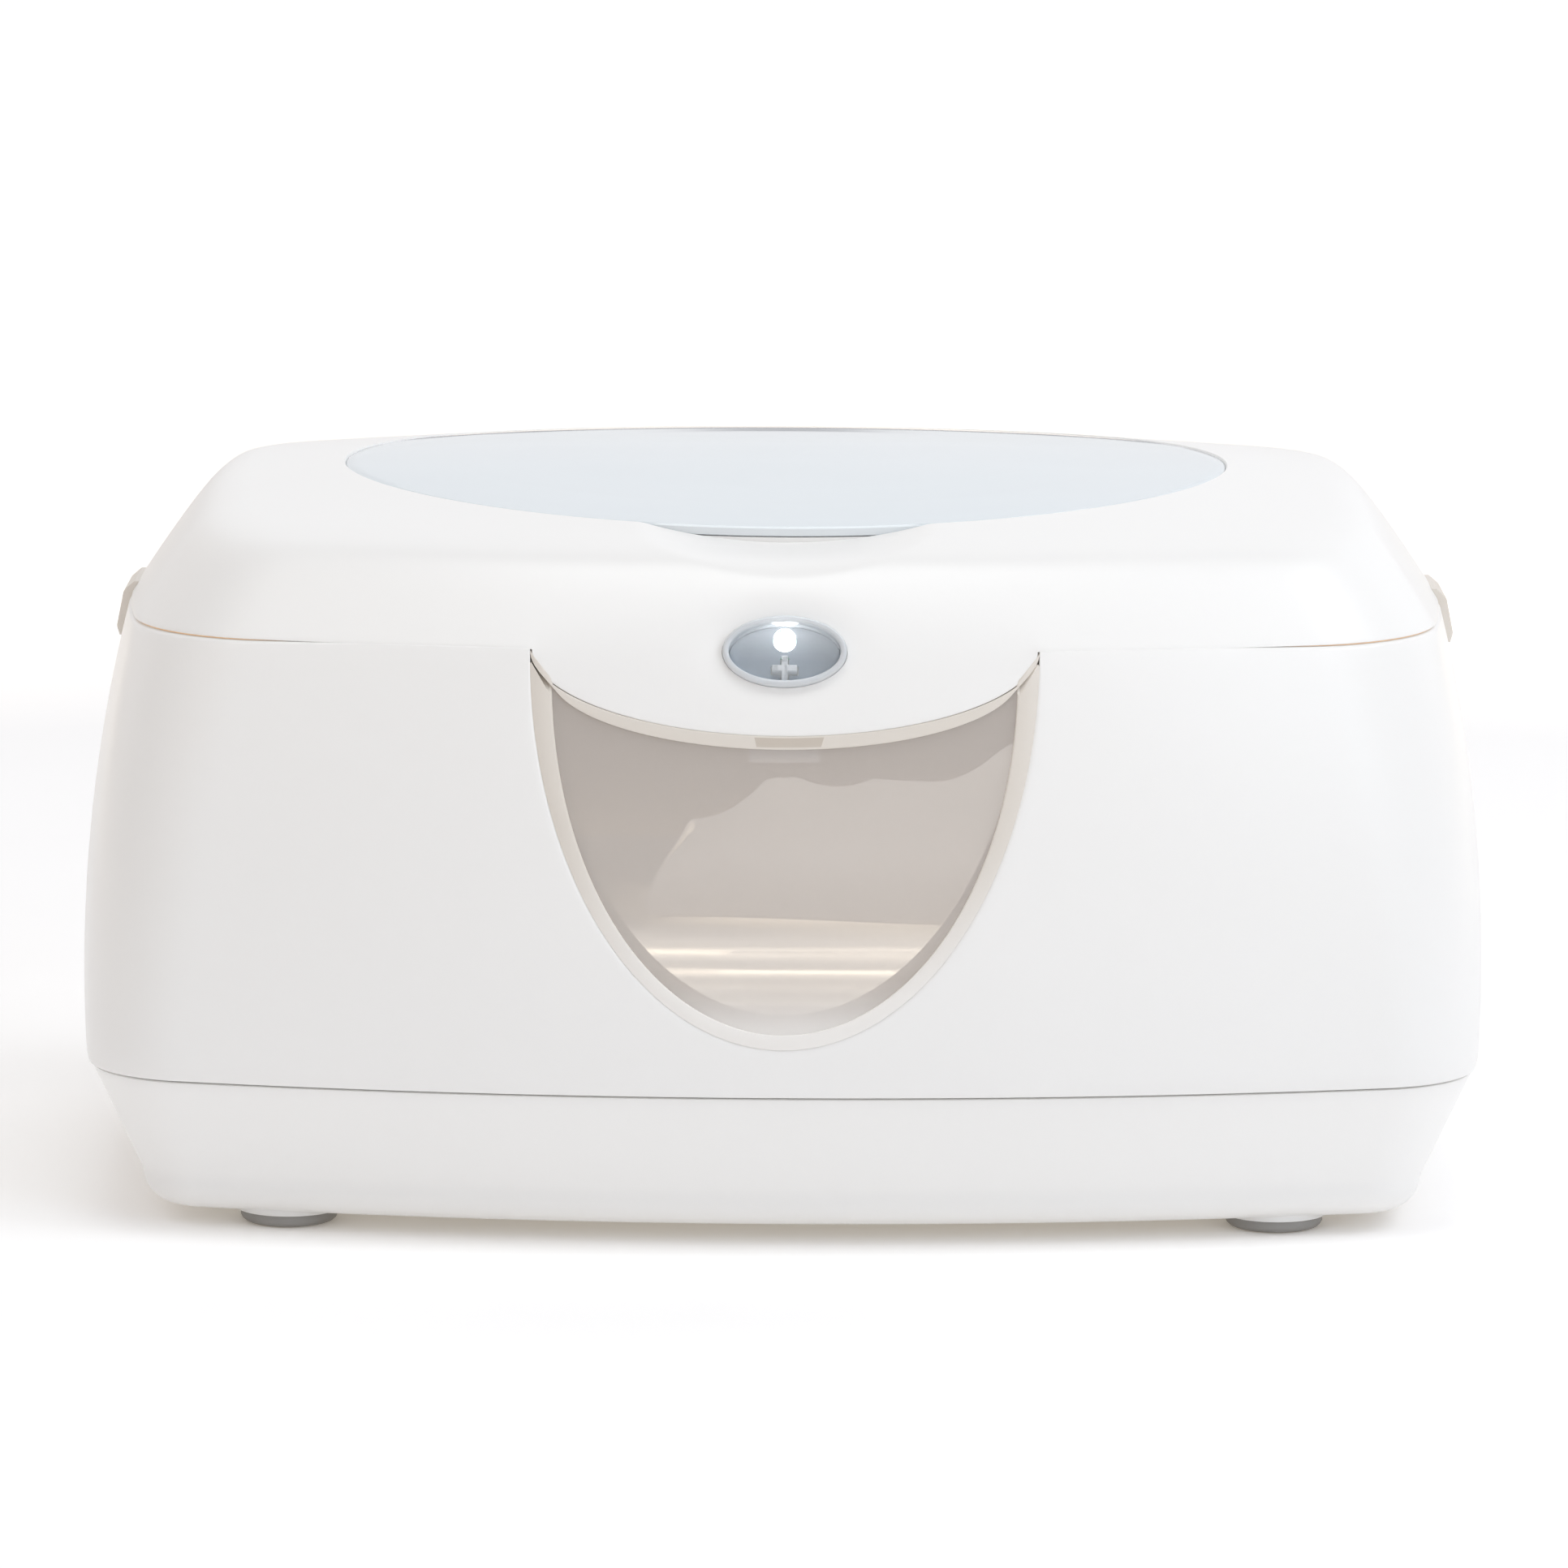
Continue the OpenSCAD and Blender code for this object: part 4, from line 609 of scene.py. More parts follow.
# at the front and sides the flange's thick lip lies in the seam under the lid
at_front = ring(lid_z, 0)[:, 1] < 40
lip_low, lip_in = casing_z1 + rim_rise * near_mid + 0.03, np.where(at_front, 1.1, flange_edge)
rows = [ring(tub_floor, 60, 30), ring(tub_floor, 33, 36), ring(tub_floor, 30, 38),
        ring(tub_floor + 0.6, 28.2, 39)]
rows += [wall_ring(f, 0) for f in np.linspace(0, 1, 14)]
rows += [bay_ring(bay_low_z, 0.7, bay_hw, fl0, flange_edge + 0.3),
         bay_ring(bay_low_z + 0.1, 0.15, bay_hw - 0.1, fl0 + 0.1, flange_edge),
         bay_ring(bay_low_z + 0.45, 0.02, bay_hw - 0.35, fl0 + 0.3, flange_edge),
         bay_ring(inner_low_z - 0.5, 0.02, inner_hw + 0.5, fl0 + 0.6, flange_edge),
         bay_ring(inner_low_z - 0.1, 0.15, inner_hw + 0.15, fl0 + 0.7, flange_edge)]
first_pane = len(rows)
rows += [bay_ring(lerp(inner_low_z, inner_up_z, t), 0.4, inner_hw, fl0 + 0.8 + 0.4 * t,
                  flange_edge) for t in np.linspace(0, 1, 18)]
last_pane = len(rows)
rows += [bay_ring(inner_up_z + 0.1, 0.15, inner_hw + 0.15, fl1 - 0.7, flange_edge),
         bay_ring(inner_up_z + 0.5, 0.02, inner_hw + 0.5, fl1 - 0.6, flange_edge),
         lip_ring(0.3, 0.02, 0.3, lip_low, fl1 - 0.5, flange_edge),
         lip_ring(0.19, 0.06, 0.2, lip_low, lip_z - 0.3, lip_in),
         lip_ring(0.08, 0.1, 0.1, lid_z - 0.06, lip_z - 0.15, lip_in),
         lip_ring(0, 0.4, 0, lid_z - 0.05, lip_z, flange_edge + 0.2),
         bay_ring(bay_top_z, 2.5, bay_hw - 0.6, lip_z, flange_edge + 1.3),
         bay_ring(bay_top_z, 3.5, bay_hw - 1, fl1, flange_edge + 1.6),
         bay_ring(bay_top_z, 7, bay_hw - 2, fl1, 10.8),
         bay_ring(bay_top_z - 1.8, 7, bay_hw - 2, fl1 - 0.5, 11)]
inner_rows = [bay_ring(lerp(bay_top_z - 1.8, bay_low_z + tub_t, t), tub_t, bay_hw - tub_t,
                       lerp(fl1 - 0.5, flange_z - 0.9, t), 11) for t in np.linspace(0, 1, 14)]
back_rows = [wall_ring(f, tub_t, 38.0) for f in np.linspace(1, 0, 12)]
rows += inner_rows + back_rows
rows += [ring(tub_floor + 2.6, 31, 37), ring(tub_floor + tub_t, 34, 36),
         ring(tub_floor + tub_t, 60, 30)]
tub = shell("lift_out_tub", rows, low=(0, 0, tub_floor), high=(0, 0, tub_floor + tub_t))
look = np.full(len(tub.data.polygons), wall)
inner_start = len(rows) - len(inner_rows) - len(back_rows) - 3
front = in_front | np.roll(in_front, -1)
for j in range(len(rows) - 1):
    faces = slice(j * ring_n, (j + 1) * ring_n)
    if first_pane - 5 <= j < last_pane + 6:
        look[faces][front] = border
    if (first_pane <= j < last_pane - 1 or
            inner_start <= j < inner_start + len(inner_rows) - 1):
        look[faces] = np.where(front, pane, wall)
    if last_pane + 2 <= j < last_pane + 6:
        look[faces][~front] = lip
slot_faces = (fold < 4) & (sign_y > 0) & (np.roll(fold, -1) <= 4)
look[(last_pane + 1) * ring_n:(last_pane + 2) * ring_n][slot_faces] = strike


def ear_x(z):
    return half(body_w, z) + 0.1 - (lid_lean * (z - lid_z) if z > lid_z else 0) + ear_gap


ear_z0, ear_z1, ear_t = 113.1, 124.6, 2.0
ear_shape = [(ear_x(ear_z0) - 0.8, ear_z0), (ear_x(ear_z0) + 0.1, ear_z0), (139.65, ear_z0 + 1.6),
             (139.7, ear_z0 + 2.1), (138.3, 122.2), (138.0, 122.8), (ear_x(ear_z1) + 0.5, ear_z1),
             (ear_x(ear_z1) - 2.2, ear_z1), (ear_x(lid_z) - 2.2, lid_z),
             (ear_x(lid_z) - 2.2, flange_z + ear_t), (131, flange_z + ear_t),
             (131, flange_z + 0.1), (ear_x(flange_z) - 0.8, flange_z + 0.1)]
# the ear's ends along y, each with how much of its outline's size is eased away there
ends = [(-ear_hw, 0.5), (-ear_hw + 0.35, 0.12), (-ear_hw + 0.8, 0), (ear_hw - 0.8, 0),
        (ear_hw - 0.35, 0.12), (ear_hw, 0.5)]
parts = [tub]
for side in (-1, 1):
    outline = np.array(ear_shape) * (side, 1)
    mid = np.array([ear_x(lid_z) + 0.8, lid_z]) * (side, 1)
    points = []
    for y, shrink in ends:
        for x, z in outline + (mid - outline) * shrink * 0.12:
            points.append((x / 1000, y / 1000, z / 1000))
    faces = prism(len(outline), len(ends))
    parts.append(piece("grip_ear", points, [f[::-1] for f in faces] if side > 0 else faces))
index = look.tolist() + [border] * sum(len(p.data.polygons) for p in parts[1:])
inner_tub = join("lift_out_tub", parts)
coat(inner_tub, tub_milky, pane_clear, band_frost, lip_painted_glow, slot_shade)
inner_tub.data.polygons.foreach_set("material_index", index)
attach(inner_tub, "housing")
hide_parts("inner_tub")

# ---------------------------------------------------------------------------------------------
# Wipes: a pile of damp non-woven sheets, each folded in on itself, lying on the tub's floor.
# The top sheet is pulled up and crumpled, ready to be taken.

wipe_cloth, tree, place = material("damp_nonwoven_viscose")
# the fibre web, 1.2 mm across, drawn about twice as coarse as real so that it shows
web = add(tree, "ShaderNodeTexVoronoi", {"Scale": 420.0}, {"Vector": place},
          feature="DISTANCE_TO_EDGE")
tone = blend(tree, "#faf7f0", "#efe9de", noise(tree, 60.0, 4.0, place))
# light that soaks through the thin white walls, most of it low at the front, is stood in for by
# a faint glow of the damp cloth
height = height_in(tree)
shine = add(tree, "ShaderNodeMath", None, {0: remap(tree, height, (0.0565, 0.06, 0.6, 0.17)),
                                           1: remap(tree, height, (0.0615, 0.075, 0, 0.2))},
            operation="ADD")
surfaced(tree, {"Roughness": 0.72, "Sheen Weight": 0.15, "Emission Color": linear("#fffaf2")},
         {"Base Color": tone, "Normal": bump(tree, web.outputs["Distance"], 0.35, 0.0003),
          "Emission Strength": shine.outputs["Value"]})

wipes_z0, wipes_hw, wipes_hd = tub_floor + tub_t, 94.0, 53.5


def pile(name, layers):
    """Folded sheets on one another: soft-edged slabs of (thickness, depth of the fold below)."""
    dice = np.random.default_rng(7)
    around, squareness = 160, 7.0
    t = np.linspace(0, 2 * np.pi, around, endpoint=False)
    c, s = np.cos(t), np.sin(t)
    rows, z = [], wipes_z0
    for i, (h, fold_in) in enumerate(layers):
        dx, dy, grow = dice.uniform(-0.7, 0.7), dice.uniform(-0.8, 0.3), dice.uniform(-1, 0.4)
        wave = sum(dice.uniform(-0.22, 0.22) * np.sin(k * t + dice.uniform(0, 6))
                   for k in (2, 3, 5, 8))
        above = layers[i + 1][1] if i + 1 < len(layers) else 1.6
        for q, out in ((0.0, -fold_in), (0.1, -0.5 * fold_in), (0.3, 0), (0.6, 0),
                       (0.86, -0.35 * above), (1.0, -above)):
            a, b = wipes_hw + grow + out, wipes_hd + grow + out
            r = (np.abs(c / a) ** squareness + np.abs(s / b) ** squareness) ** (-1 / squareness)
            rows.append(np.stack([r * c + dx, r * s + dy, z + h * q + wave * (0.25 + 0.1 * i)],
                                 axis=1))
        z += h
    top = rows[-1] * (0.97, 0.95, 1)
    rows += [top, top * (0.6, 0.6, 1) + (0, 0, 0.5)]
    return shell(name, rows, low=(0, 0, wipes_z0), high=(0, 0, float(rows[-1][0][2])), sharp=180)


folded = pile("folded_wipes", [(3.2, 0.9), (3.2, 0.7), (3.0, 0.7), (3.2, 0.7), (4.1, 3.6),
                               (6.4, 4.2)])
coat(folded, wipe_cloth)
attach(folded, "housing")
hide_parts("wipe_stack")


def crumpled(name, w, foot):
    """The front half of the top sheet: a creased arch of cloth, its front foot on the pile."""
    n, m = 84, 110
    u, s = np.meshgrid(np.linspace(0, 1, n), np.linspace(0, 1, m))
    tall = 17 + 15 * smooth(1.35 * u) + 2.5 * np.sin(6.1 * u + 0.6)
    x = -27 + w * u + 7 * np.sin(np.pi * s) * (1 - u) ** 2 + 2.0 * np.sin(5 * s + 3 * u)
    y = -34 + 24 * np.cos(np.pi * s) + 4.5 * np.sin(4.2 * u + 1.1) * s
    z = foot + tall * np.sin(np.pi * s) ** 0.8
    for size, ku, ks, phase in ((2.3, 5.3, 2.6, 0.4), (1.9, -3.7, 4.4, 1.9), (1.4, 8.8, -3.1, 2.7),
                                (0.9, 4.1, 9.3, 0.9), (0.7, -11.5, 6.7, 4.0)):
        crease = size * (1 - 2 * np.abs(np.sin(ku * u + ks * s + phase)) ** 0.7)
        y += crease * 0.8 * np.sin(np.pi * s)
        z += crease * 0.6 * np.sin(np.pi * s)
    y = np.maximum(y, -72)
    z = np.maximum(z, foot)
    points = np.stack([x, y, z], axis=-1).reshape(-1, 3) / 1000
    faces = [(j * n + i, j * n + i + 1, (j + 1) * n + i + 1, (j + 1) * n + i)
             for j in range(m - 1) for i in range(n - 1)]
    made = piece(name, points, faces, sharp=180)
    change = made.modifiers.new("cloth_thickness", "SOLIDIFY")
    change.thickness, change.offset = 0.0004, 1.0
    applied(made)
    return made


sheet = crumpled("popped_up_sheet", 84, wipes_z0 + 24.6)
coat(sheet, wipe_cloth)
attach(sheet, "housing")

# ---------------------------------------------------------------------------------------------
# Lid shell: one domed moulding in white ABS. Its front edge drops in a tongue over the window,
# its crown has an oval seat for the lens and a finger scoop in front of it.

lid_h, lens_a, lens_b, lens_seat, lid_t, top_q = 29.5, 92.5, 62.0, 2.3, 2.4, 33.0
scoop_a, scoop_b, scoop_h, scoop_y = 29.5, 18.5, 3.2, 61
button_tilt, button_z = np.radians(20), lid_z - 0.2
button_y = -(half(198, button_z) - 1.4)


def crown(x, y):
    """The crown's level, which falls 7.7 mm in 75 mm front to back and 2.4 mm in 92.5 sideways."""
    return lid_z + lid_h - 7.7 * ((y - 15) / 75) ** 2 - 2.4 * (x / 92.5) ** 2


def scoop(x, y):
    """How deep the finger scoop is: an oval bowl whose middle is scoop_y in front of the lid's."""
    return scoop_h * np.maximum(0, 1 - (x / scoop_a) ** 2 - ((-y - scoop_y) / scoop_b) ** 2)


def soft_min(a, b, k=5.0):
    return (a + b - np.sqrt((a - b) ** 2 + k * k)) / 2


def dish(points):
    """Presses a shallow dish, 0.65 mm deep, into the skin round the button."""
    v = (points[:, 2] - button_z) / np.cos(button_tilt)
    near = np.hypot(points[:, 0] / 17.5, v / 11.0)
    deep = 0.65 * (1 - smooth((near - 0.55) / 0.6)) * (points[:, 1] < -60)
    points[:, 1] += deep * np.cos(button_tilt)
    points[:, 2] -= deep * np.sin(button_tilt)
    return points


def lid_ring(q, s, e=0.0):
    """Lid outline q above the seam, which may vary all round, s under the skin, e from its edge."""
    q = np.broadcast_to(q, ring_n)
    lean = lid_lean * (q + np.sqrt(q * q + (6 * bay) ** 2)) / 2
    made = ring(lid_z + q, lean + s, tongue_hw - s - e)
    made[:, 2] = soft_min(lid_z + q, crown(made[:, 0], made[:, 1]) - s)
    made[:, 2] -= scoop(made[:, 0], made[:, 1])
    return made


def lid_row(f, s, e=0.0):
    """Row f of the way from the lid's lower edge to the shoulder."""
    return lid_ring(lerp(e - tongue_drop * bay, top_q, f), s, e * (1 - f))


def lens_oval(g, s=0.0):
    edge = lid_ring(top_q, 0)
    u = np.arctan2(edge[:, 1] / lens_b, edge[:, 0] / lens_a)
    x, y = g * lens_a * np.cos(u), g * lens_b * np.sin(u)
    return np.stack([x, y, crown(x, y) - s], axis=1)


def crown_row(t, g, s):
    """Row t of the way over the crown, from the shoulder to the oval, g times the lens's size."""
    edge, oval = lid_ring(top_q, s), lens_oval(g)
    x, y = lerp(edge[:, 0], oval[:, 0], t), lerp(edge[:, 1], oval[:, 1], t)
    z = lerp(soft_min(lid_z + top_q, crown(x, y) - s), crown(x, y) - s, t)
    return np.stack([x, y, z - scoop(x, y)], axis=1)


rows = [lid_row(0, lid_t - 0.3), lid_row(0, 0.35), lid_row(0, 0.1, 0.1)]
rows += [lid_row(f, 0, 0.35) for f in np.concatenate([[0], np.linspace(0.02, 0.98, 44), [1]])]
rows += [crown_row(t, 1, 0) for t in (*np.linspace(0.06, 0.9, 14), 0.95, 0.985)]
rim = crown_row(1, 1, 0)
rows += [rim, lens_oval(0.997, 0.35) - (0, 0, 1) * scoop(rim[:, 0], rim[:, 1])[:, None],
         lens_oval(0.995, lens_seat)]
rows += [lens_oval(g, lens_seat) for g in (0.8, 0.5, 0.2)]
for row in rows:
    dish(row)
under = [lens_oval(g, lens_seat + lid_t) for g in (0.2, 0.5, 0.8, 1 + lid_t / lens_a)]
under += [crown_row(t, 1 + lid_t / lens_a, lid_t) for t in (0.9, 0.6, 0.3)]
under += [lid_row(f, lid_t) for f in np.linspace(1, 0.03, 24)] + [lid_row(0, lid_t, 0.2)]
rows = under + rows
lid = shell("domed_lid", rows, low=(0, 0, crown(0, 0) - lens_seat - lid_t),
            high=(0, 0, crown(0, 0) - lens_seat), sharp=38)


def on_face(points):
    """From the button's own frame, X along the oval, Y up its face, Z out of it, to the lid's."""
    x, v, n = np.array(points, float).reshape(-1, 3).T
    c, s = np.cos(button_tilt), np.sin(button_tilt)
    return np.stack([x, button_y - n * c + v * s, button_z + n * s + v * c], axis=1)


def oval_turned(name, profile, a, b, v=0.0, closed=False, around=96):
    """Ovals stacked on the button's face, v above its middle, by a profile of (growth, height)."""
    u = np.linspace(0, 2 * np.pi, around, endpoint=False)
    rows = [on_face(np.stack([(a + grow) * np.cos(u), (b + grow) * np.sin(u) + v,
                              np.full(around, h)], axis=1)) for grow, h in profile]
    low, high = on_face([(0, v, profile[0][1])])[0], on_face([(0, v, profile[-1][1])])[0]
    return shell(name, rows, closed=closed, low=low, high=high)


bezel_a, bezel_b = 12.5, 7.25
button_hole = oval_turned("button_hole", [(0.1, -7), (0.1, -0.4), (0.5, 0.3), (1.2, 4)],
                          bezel_a, bezel_b)
carve(lid, ear_notches(flange_z, ear_z1 + 0.15) + [button_hole], sharp=38)


def lid_web(x):
    y = rear_y(x, lid_z) - lid_t / 2
    top = rear_y(x, lid_z + 5) - lid_lean * 5 - lid_t / 2
    sweep = [(lerp(hinge_y + 0.4, top, t), lerp(hinge_z + knuckle_r - 0.05, lid_z + 5, t ** 1.6))
             for t in np.linspace(0, 1, 7)]
    return [(y, lid_z + 0.4), (hinge_y, lid_z + 0.4), (hinge_y + 2, lid_z + 1), *sweep]


latch_y, latch_z, latch_ear_x = -76.443, 130.0, 12.6
latch_ear = [(-79.04, 127.8), (-73.84, 127.8), (-74.3, 137.5), (-78.0, 136.5), (-80.2, 133.5)]
barrels, latch_ears = [], []
for side in (-1, 1):
    lo, hi = sorted(side * x for x in lid_knuckle)
    barrels += knuckle(lo, hi, lid_web((lo + hi) / 2))
    lo, hi = sorted((side * latch_ear_x, side * (latch_ear_x + 2.4)))
    latch_ears.append(extruded("latch_ear", latch_ear, lo, hi))
parts = [lid] + barrels + latch_ears
for sx, sy in corners:
    top = soft_min(lid_z + top_q, crown(lid_post_x, sy * lid_post_y) - lid_t / 2)
    post = [(1.6, 126.8), (4.2, 126.8), (4.5, 127.1), (4.5, top), (1.6, top)]
    parts.append(lathe("lid_post", post, (sx * lid_post_x, sy * lid_post_y, 0)))
domed_lid = join("domed_lid", parts, sharp=38)
coat(domed_lid, white_abs)
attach(domed_lid, "lid")
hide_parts("lid_shell")

# ---------------------------------------------------------------------------------------------
# Top lens: an oval panel of milky polycarbonate with a cool tint, glossy, flush in the crown.
# Its edge is eased, and a faint step runs inside it where the panel gets thinner.

lens_tint = moulding("polycarbonate_milky", "#eff4f7", "#e9f0f4", 0.07, Alpha=0.9, IOR=1.58)
gs = (1 - 0.3 / 62, 0.99, 0.97, 0.9, 0.78, 0.745, 0.6, 0.4, 0.15)
drops = (0.45, 0.12, 0.02, 0.02, 0.03, 0.14, 0.14, 0.14, 0.14)
rows = [lens_oval(g, 2.0) for g in gs[::-1]] + [lens_oval(g, d + 0.05) for g, d in zip(gs, drops)]
lens = shell("oval_lens", rows, low=(0, 0, crown(0, 0) - 2), high=(0, 0, crown(0, 0) - 0.19))
coat(lens, lens_tint)
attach(lens, "lid")
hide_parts("top_lens")

# ---------------------------------------------------------------------------------------------
# Button: an oval cap of clear polycarbonate in a raised clear bezel. Behind it a satin
# reflector shows the cap's cross-shaped stem, and a lit 5 mm white lamp stands above the cross.

clear_pc = moulding("polycarbonate_clear", "#f1f5f8", "#e9eff4", 0.05, sway=0.02, IOR=1.58,
                    Alpha=0.16)
rim_pc = moulding("polycarbonate_clear_rim", "#f0f3f6", "#e9edf1", 0.08, IOR=1.58, Alpha=0.72)
stem_pc = moulding("polycarbonate_cloudy_stem", "#f3f5f7", "#ebeef1", 0.2, IOR=1.58, Alpha=0.85)
# the reflector's satin coat is painted brighter above and darker below: painted light from the
# lamp, which lights its upper part
satin = milky("reflector_satin_painted_lamplight", "#e6ecf1", "#8b97a2", (1, 1), 0.34, 0.3, (118.5, 127.0),
              Metallic=0.3)
lamp_glow = moulding("lamp_white_glow", "#ffffff", "#f4f9ff", 0.2,
                     **{"Emission Color": linear("#f9fcff"), "Emission Strength": 8.0})


def plate(name, outline, n0, n1, ease=0.12):
    """A flat outline on the button's face, swept from depth n0 to n1, with eased edges."""
    points = [(*p, n) for n in (n0, n1) for p in outline]
    made = piece(name, on_face(points) / 1000, prism(len(outline)))
    if ease:
        edges = bmesh.new()
        edges.from_mesh(made.data)
        bmesh.ops.bevel(edges, geom=edges.edges[:], offset=ease / 1000, segments=2,
                        affect="EDGES", profile=0.5)
        edges.to_mesh(made.data)
        edges.free()
        shaded(made.data)
    return made


def cross(v, span, arm):
    """Outline of an upright cross centred v above the button's middle."""
    h, w = span / 2, arm / 2
    return [(w, v - h), (w, v - w), (h, v - w), (h, v + w), (w, v + w), (w, v + h),
            (-w, v + h), (-w, v + w), (-h, v + w), (-h, v - w), (-w, v - w), (-w, v - h)]


bezel = oval_turned("button_rim", [(0, -6), (0, 0.55), (-0.1, 0.9), (-0.32, 1.12), (-0.65, 1.2),
                                   (-0.98, 1.1), (-1.2, 0.85), (-1.3, 0.5), (-1.3, -6)],
                    bezel_a, bezel_b, closed=True)
coat(bezel, rim_pc)
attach(bezel, "lid")
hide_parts("button_bezel")

stem_v = -3.0
cap = oval_turned("button_cap_clear", [(-4, -1.6), (-0.15, -1.6), (0, -1.45), (0, 0.1),
                                       (-0.12, 0.36), (-0.45, 0.55), (-1.6, 0.68), (-3.6, 0.76)],
                  bezel_a - 1.55, bezel_b - 1.55)
stem = plate("button_stem", cross(stem_v, 5.0, 1.2), -11, -1.6, ease=0.1)
plain = len(cap.data.polygons)
cap = join("button_cap_clear", [cap, stem])
coat(cap, clear_pc, stem_pc)
cap.data.polygons.foreach_set("material_index",
                              [int(i >= plain) for i in range(len(cap.data.polygons))])
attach(cap, "button")
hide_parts("button_cap")

lamp_r, lamp_v, lamp_n = 2.25, 3.3, -6.6  # the dome's radius, height on the face and depth
mirror = oval_turned("lamp_reflector", [(-5.2, -5.6), (0, -5.6), (0, -4.62), (-0.25, -4.6),
                                        (-1.0, -4.82), (-2.5, -5.05), (-4.2, -5.2), (-5.4, -5.25)],
                     bezel_a - 1.4, bezel_b - 1.4)
carve(mirror, [oval_turned("lamp_hole", [(0, -7), (0, -4)], 2.35, 2.35, v=lamp_v, around=48),
               plate("stem_hole", cross(stem_v, 5.6, 1.8), -7, -4, ease=0)])
coat(mirror, satin)
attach(mirror, "lid")
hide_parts("reflector")

dome = [(-0.1, -8.2), (0, -8.0), (0, lamp_n)]
dome += [(lamp_r * np.cos(a) - lamp_r, lamp_n + lamp_r * np.sin(a))
         for a in np.radians(range(10, 90, 10))]
lamp = oval_turned("white_lamp", dome, lamp_r, lamp_r, v=lamp_v, around=48)
coat(lamp, lamp_glow)
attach(lamp, "lid")
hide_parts("led")

# ---------------------------------------------------------------------------------------------
# Latch spring: a coil of spring wire round the latch pin, beside the hook, made as a helix
# with a round wire swept along it. Like the solid, it is a plain coil without legs.

coil_tree, given = node_group("wire_coil", Wire="Float", Radius="Float", Length="Float")
helix = add(coil_tree, "GeometryNodeCurveSpiral", {"Resolution": 40, "Rotations": 4.5},
            {"Start Radius": given["Radius"], "End Radius": given["Radius"],
             "Height": given["Length"]})
round_wire = add(coil_tree, "GeometryNodeCurvePrimitiveCircle", {"Resolution": 14},
                 {"Radius": given["Wire"]})
swept = add(coil_tree, "GeometryNodeCurveToMesh", {"Fill Caps": True},
            {"Curve": helix.outputs["Curve"], "Profile Curve": round_wire.outputs["Curve"]})
rounded = add(coil_tree, "GeometryNodeSetShadeSmooth", {"Shade Smooth": True},
              {"Geometry": swept.outputs["Mesh"]})
add(coil_tree, "NodeGroupOutput", None, {"Made": rounded.outputs["Geometry"]})

spring = placed("latch_coil", bpy.data.meshes.new("latch_coil"))
mesh = grown(spring, coil_tree, Wire=0.00033, Radius=0.0017, Length=0.0042)
mesh.transform(Matrix.Translation((0.0077, latch_y / 1000, latch_z / 1000))
               @ Matrix.Rotation(np.pi / 2, 4, "Y"))
coat(spring, zinc)
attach(spring, "lid")
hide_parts("latch_spring")

# ---------------------------------------------------------------------------------------------
# Solids that keep their own meshes: the hinge and latch pins, the hook, the liner and gasket,
# the heater's sheets, the boards, the socket and the leads, each in its own material.


def pattern(name, base, other, kind, scale, edges, roughness, metallic=0.0, height=0.0002,
            **props):
    """Two colours laid out by a texture, with the pattern standing a little proud."""
    made, tree, place = material(name)
    drawn = add(tree, kind, {"Scale": scale}, {"Vector": place}, **props)
    fac = drawn.outputs["Fac" if kind == "ShaderNodeTexNoise" else 0]
    part = remap(tree, fac, (*edges, 0, 1))
    surfaced(tree, {"Roughness": roughness, "Metallic": metallic},
             {"Base Color": blend(tree, base, other, part),
              "Normal": bump(tree, part, 0.5, height)})
    return made


liner_abs = moulding("white_abs_spark_textured", "#f3f2f0", "#eeedea", 0.55, grain=0.6,
                     grain_mm=0.5, IOR=1.53)
silicone = moulding("grey_silicone", "#bdbdbb", "#b2b2b0", 0.6, grain=0.4, grain_mm=0.4, IOR=1.41)
acetal = moulding("white_acetal", "#f4f4f1", "#efefeb", 0.36, grain=0.1, IOR=1.48)
nylon = moulding("black_nylon", "#1b1b1c", "#232324", 0.5, grain=0.5, grain_mm=0.4, IOR=1.53)
vinyl = moulding("black_vinyl_sheath", "#1a1a1b", "#222223", 0.42, sway=0.3, IOR=1.53)
rolled = pattern("rolled_aluminium", "#cdd0d3", "#bfc3c7", "ShaderNodeTexNoise", 900.0,
                 (0.35, 0.65), 0.33, metallic=1.0, height=0.00001)
film = pattern("polyimide_film_over_tracks", "#b56a1d", "#8e4c16", "ShaderNodeTexWave", 60.0,
               (0.45, 0.5), 0.22, wave_type="BANDS", bands_direction="X")
felt = pattern("needled_fibre_felt", "#e9e4d6", "#dcd6c6", "ShaderNodeTexVoronoi", 1400.0,
               (0.1, 0.5), 0.95, height=0.0003)
mask = pattern("green_solder_mask_over_tracks", "#1c5a38", "#27744a", "ShaderNodeTexBrick", 140.0,
               (0.3, 0.6), 0.35, height=0.00004)
tin = pattern("tinned_steel_can", "#b9b9b4", "#a9a9a5", "ShaderNodeTexNoise", 500.0, (0.3, 0.7),
              0.38, metallic=1.0, height=0.00001)
for look, *names in ((zinc, "hinge_pin_left", "hinge_pin_right", "latch_pin"),
                     (acetal, "latch_hook"),
                     (liner_abs, "lid_liner"),
                     (silicone, "lid_gasket"),
                     (rolled, "heater_plate"),
                     (film, "heater_film"),
                     (felt, "insulation_pad"),
                     (tin, "thermostat", "thermal_fuse"),
                     (mask, "control_board", "light_board"),
                     (nylon, "power_inlet"),
                     (vinyl, "power_lead", "heater_lead")):
    for name in names:
        coat(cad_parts[name], look)

# ---------------------------------------------------------------------------------------------
# Table and studio: a plain white floor, soft panels that are strongest overhead and from the
# right, weaker warm ones from the left, a wide one behind, and an even dim surround.

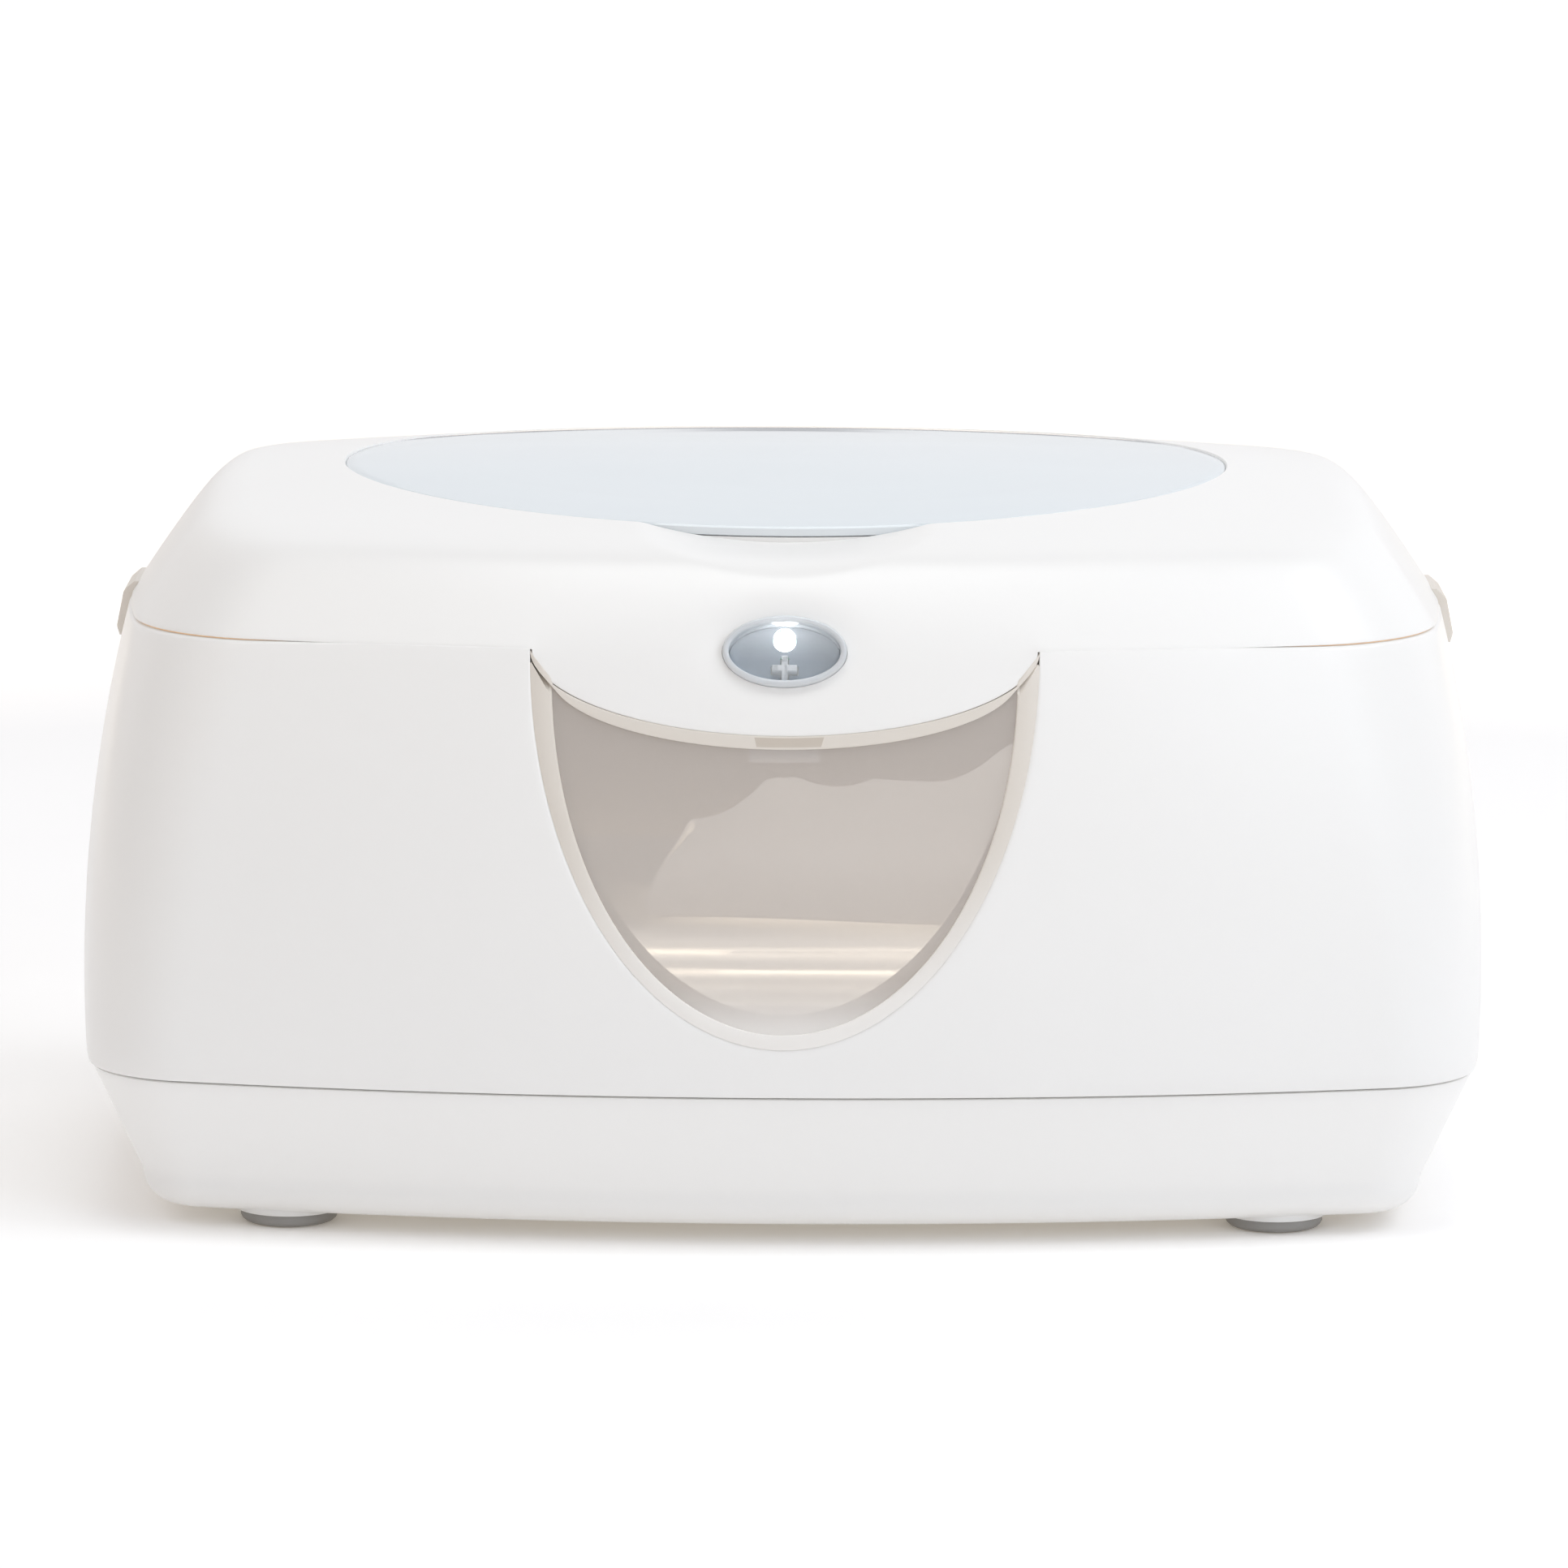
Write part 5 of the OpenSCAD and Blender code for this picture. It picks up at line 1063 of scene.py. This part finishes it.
floor_white = moulding("studio_white_floor", "#f8f9fb", "#f6f7f9", 0.95, IOR=1.3,
                       **{"Emission Color": (1.0, 0.9, 0.76, 1.0)})
# away from the object the floor glows, so that it ends in plain white whichever way one looks
tree = floor_white.node_tree
from_middle = add(tree, "ShaderNodeVectorMath", None,
                  {0: add(tree, "ShaderNodeTexCoord").outputs["Object"]}, operation="LENGTH")
glow = remap(tree, from_middle.outputs["Value"], (0.6, 1.4, 0.155, 0.95))
tree.links.new(glow, tree.nodes["Principled BSDF"].inputs["Emission Strength"])
floor = piece("studio_floor", [(-9, -9, 0), (9, -9, 0), (9, 9, 0), (-9, 9, 0)], [(0, 1, 2, 3)],
              sharp=180)
coat(floor, floor_white)

surround = bpy.data.worlds.new("studio")
surround.use_nodes = True
sky = surround.node_tree.nodes["Background"].inputs
sky["Color"].default_value, sky["Strength"].default_value = (0.97, 0.94, 1.0, 1.0), 0.25
bpy.context.scene.world = surround


def panel(name, round_from_front, up, watts, colour, size=(1.0, 1.0), away=2.0, aim_z=0.08):
    """A soft light turned to the object, a square metre 2 m away if nothing else is said."""
    lamp = bpy.data.lights.new(name, "AREA")
    lamp.shape, lamp.energy, lamp.color = "RECTANGLE", watts, linear(colour)[:3]
    lamp.size, lamp.size_y = size
    made = placed(name, lamp)
    turn, rise = np.radians(round_from_front), np.radians(up)
    aim = Vector((0, 0, aim_z))
    made.location = aim + away * Vector((np.sin(turn) * np.cos(rise), -np.cos(turn) * np.cos(rise),
                                         np.sin(rise)))
    made.rotation_euler = (aim - made.location).to_track_quat("-Z", "Y").to_euler()


panel("overhead", 0, 75, 10.6, "#fbffff")
panel("high_right", 70, 50, 10.4, "#fafcff")
panel("low_right", 40, 25, 7.2, "#eaf5ff")
panel("high_left", -50, 50, 3.3, "#fffbf2")
panel("low_left", -60, 25, 1.4, "#ffe2c5")
panel("backdrop", 180, 0, 33, "#ffffff", size=(6.0, 2.4), away=1.2, aim_z=1.37)

optics = bpy.data.cameras.new("camera")
optics.lens, optics.sensor_width, optics.clip_end = 195.9, 36.0, 20.0
camera = placed("camera", optics)
down, roll, away, aim_z = np.radians(9.5), np.radians(0.33), 1.8, 0.0806
camera.matrix_world = (Matrix.Translation((0, -away * np.cos(down), aim_z + away * np.sin(down)))
                       @ Matrix.Rotation(np.pi / 2 - down, 4, "X")
                       @ Matrix.Rotation(roll, 4, "Z"))
bpy.context.scene.camera = camera
bpy.context.scene.view_settings.view_transform = "Standard"
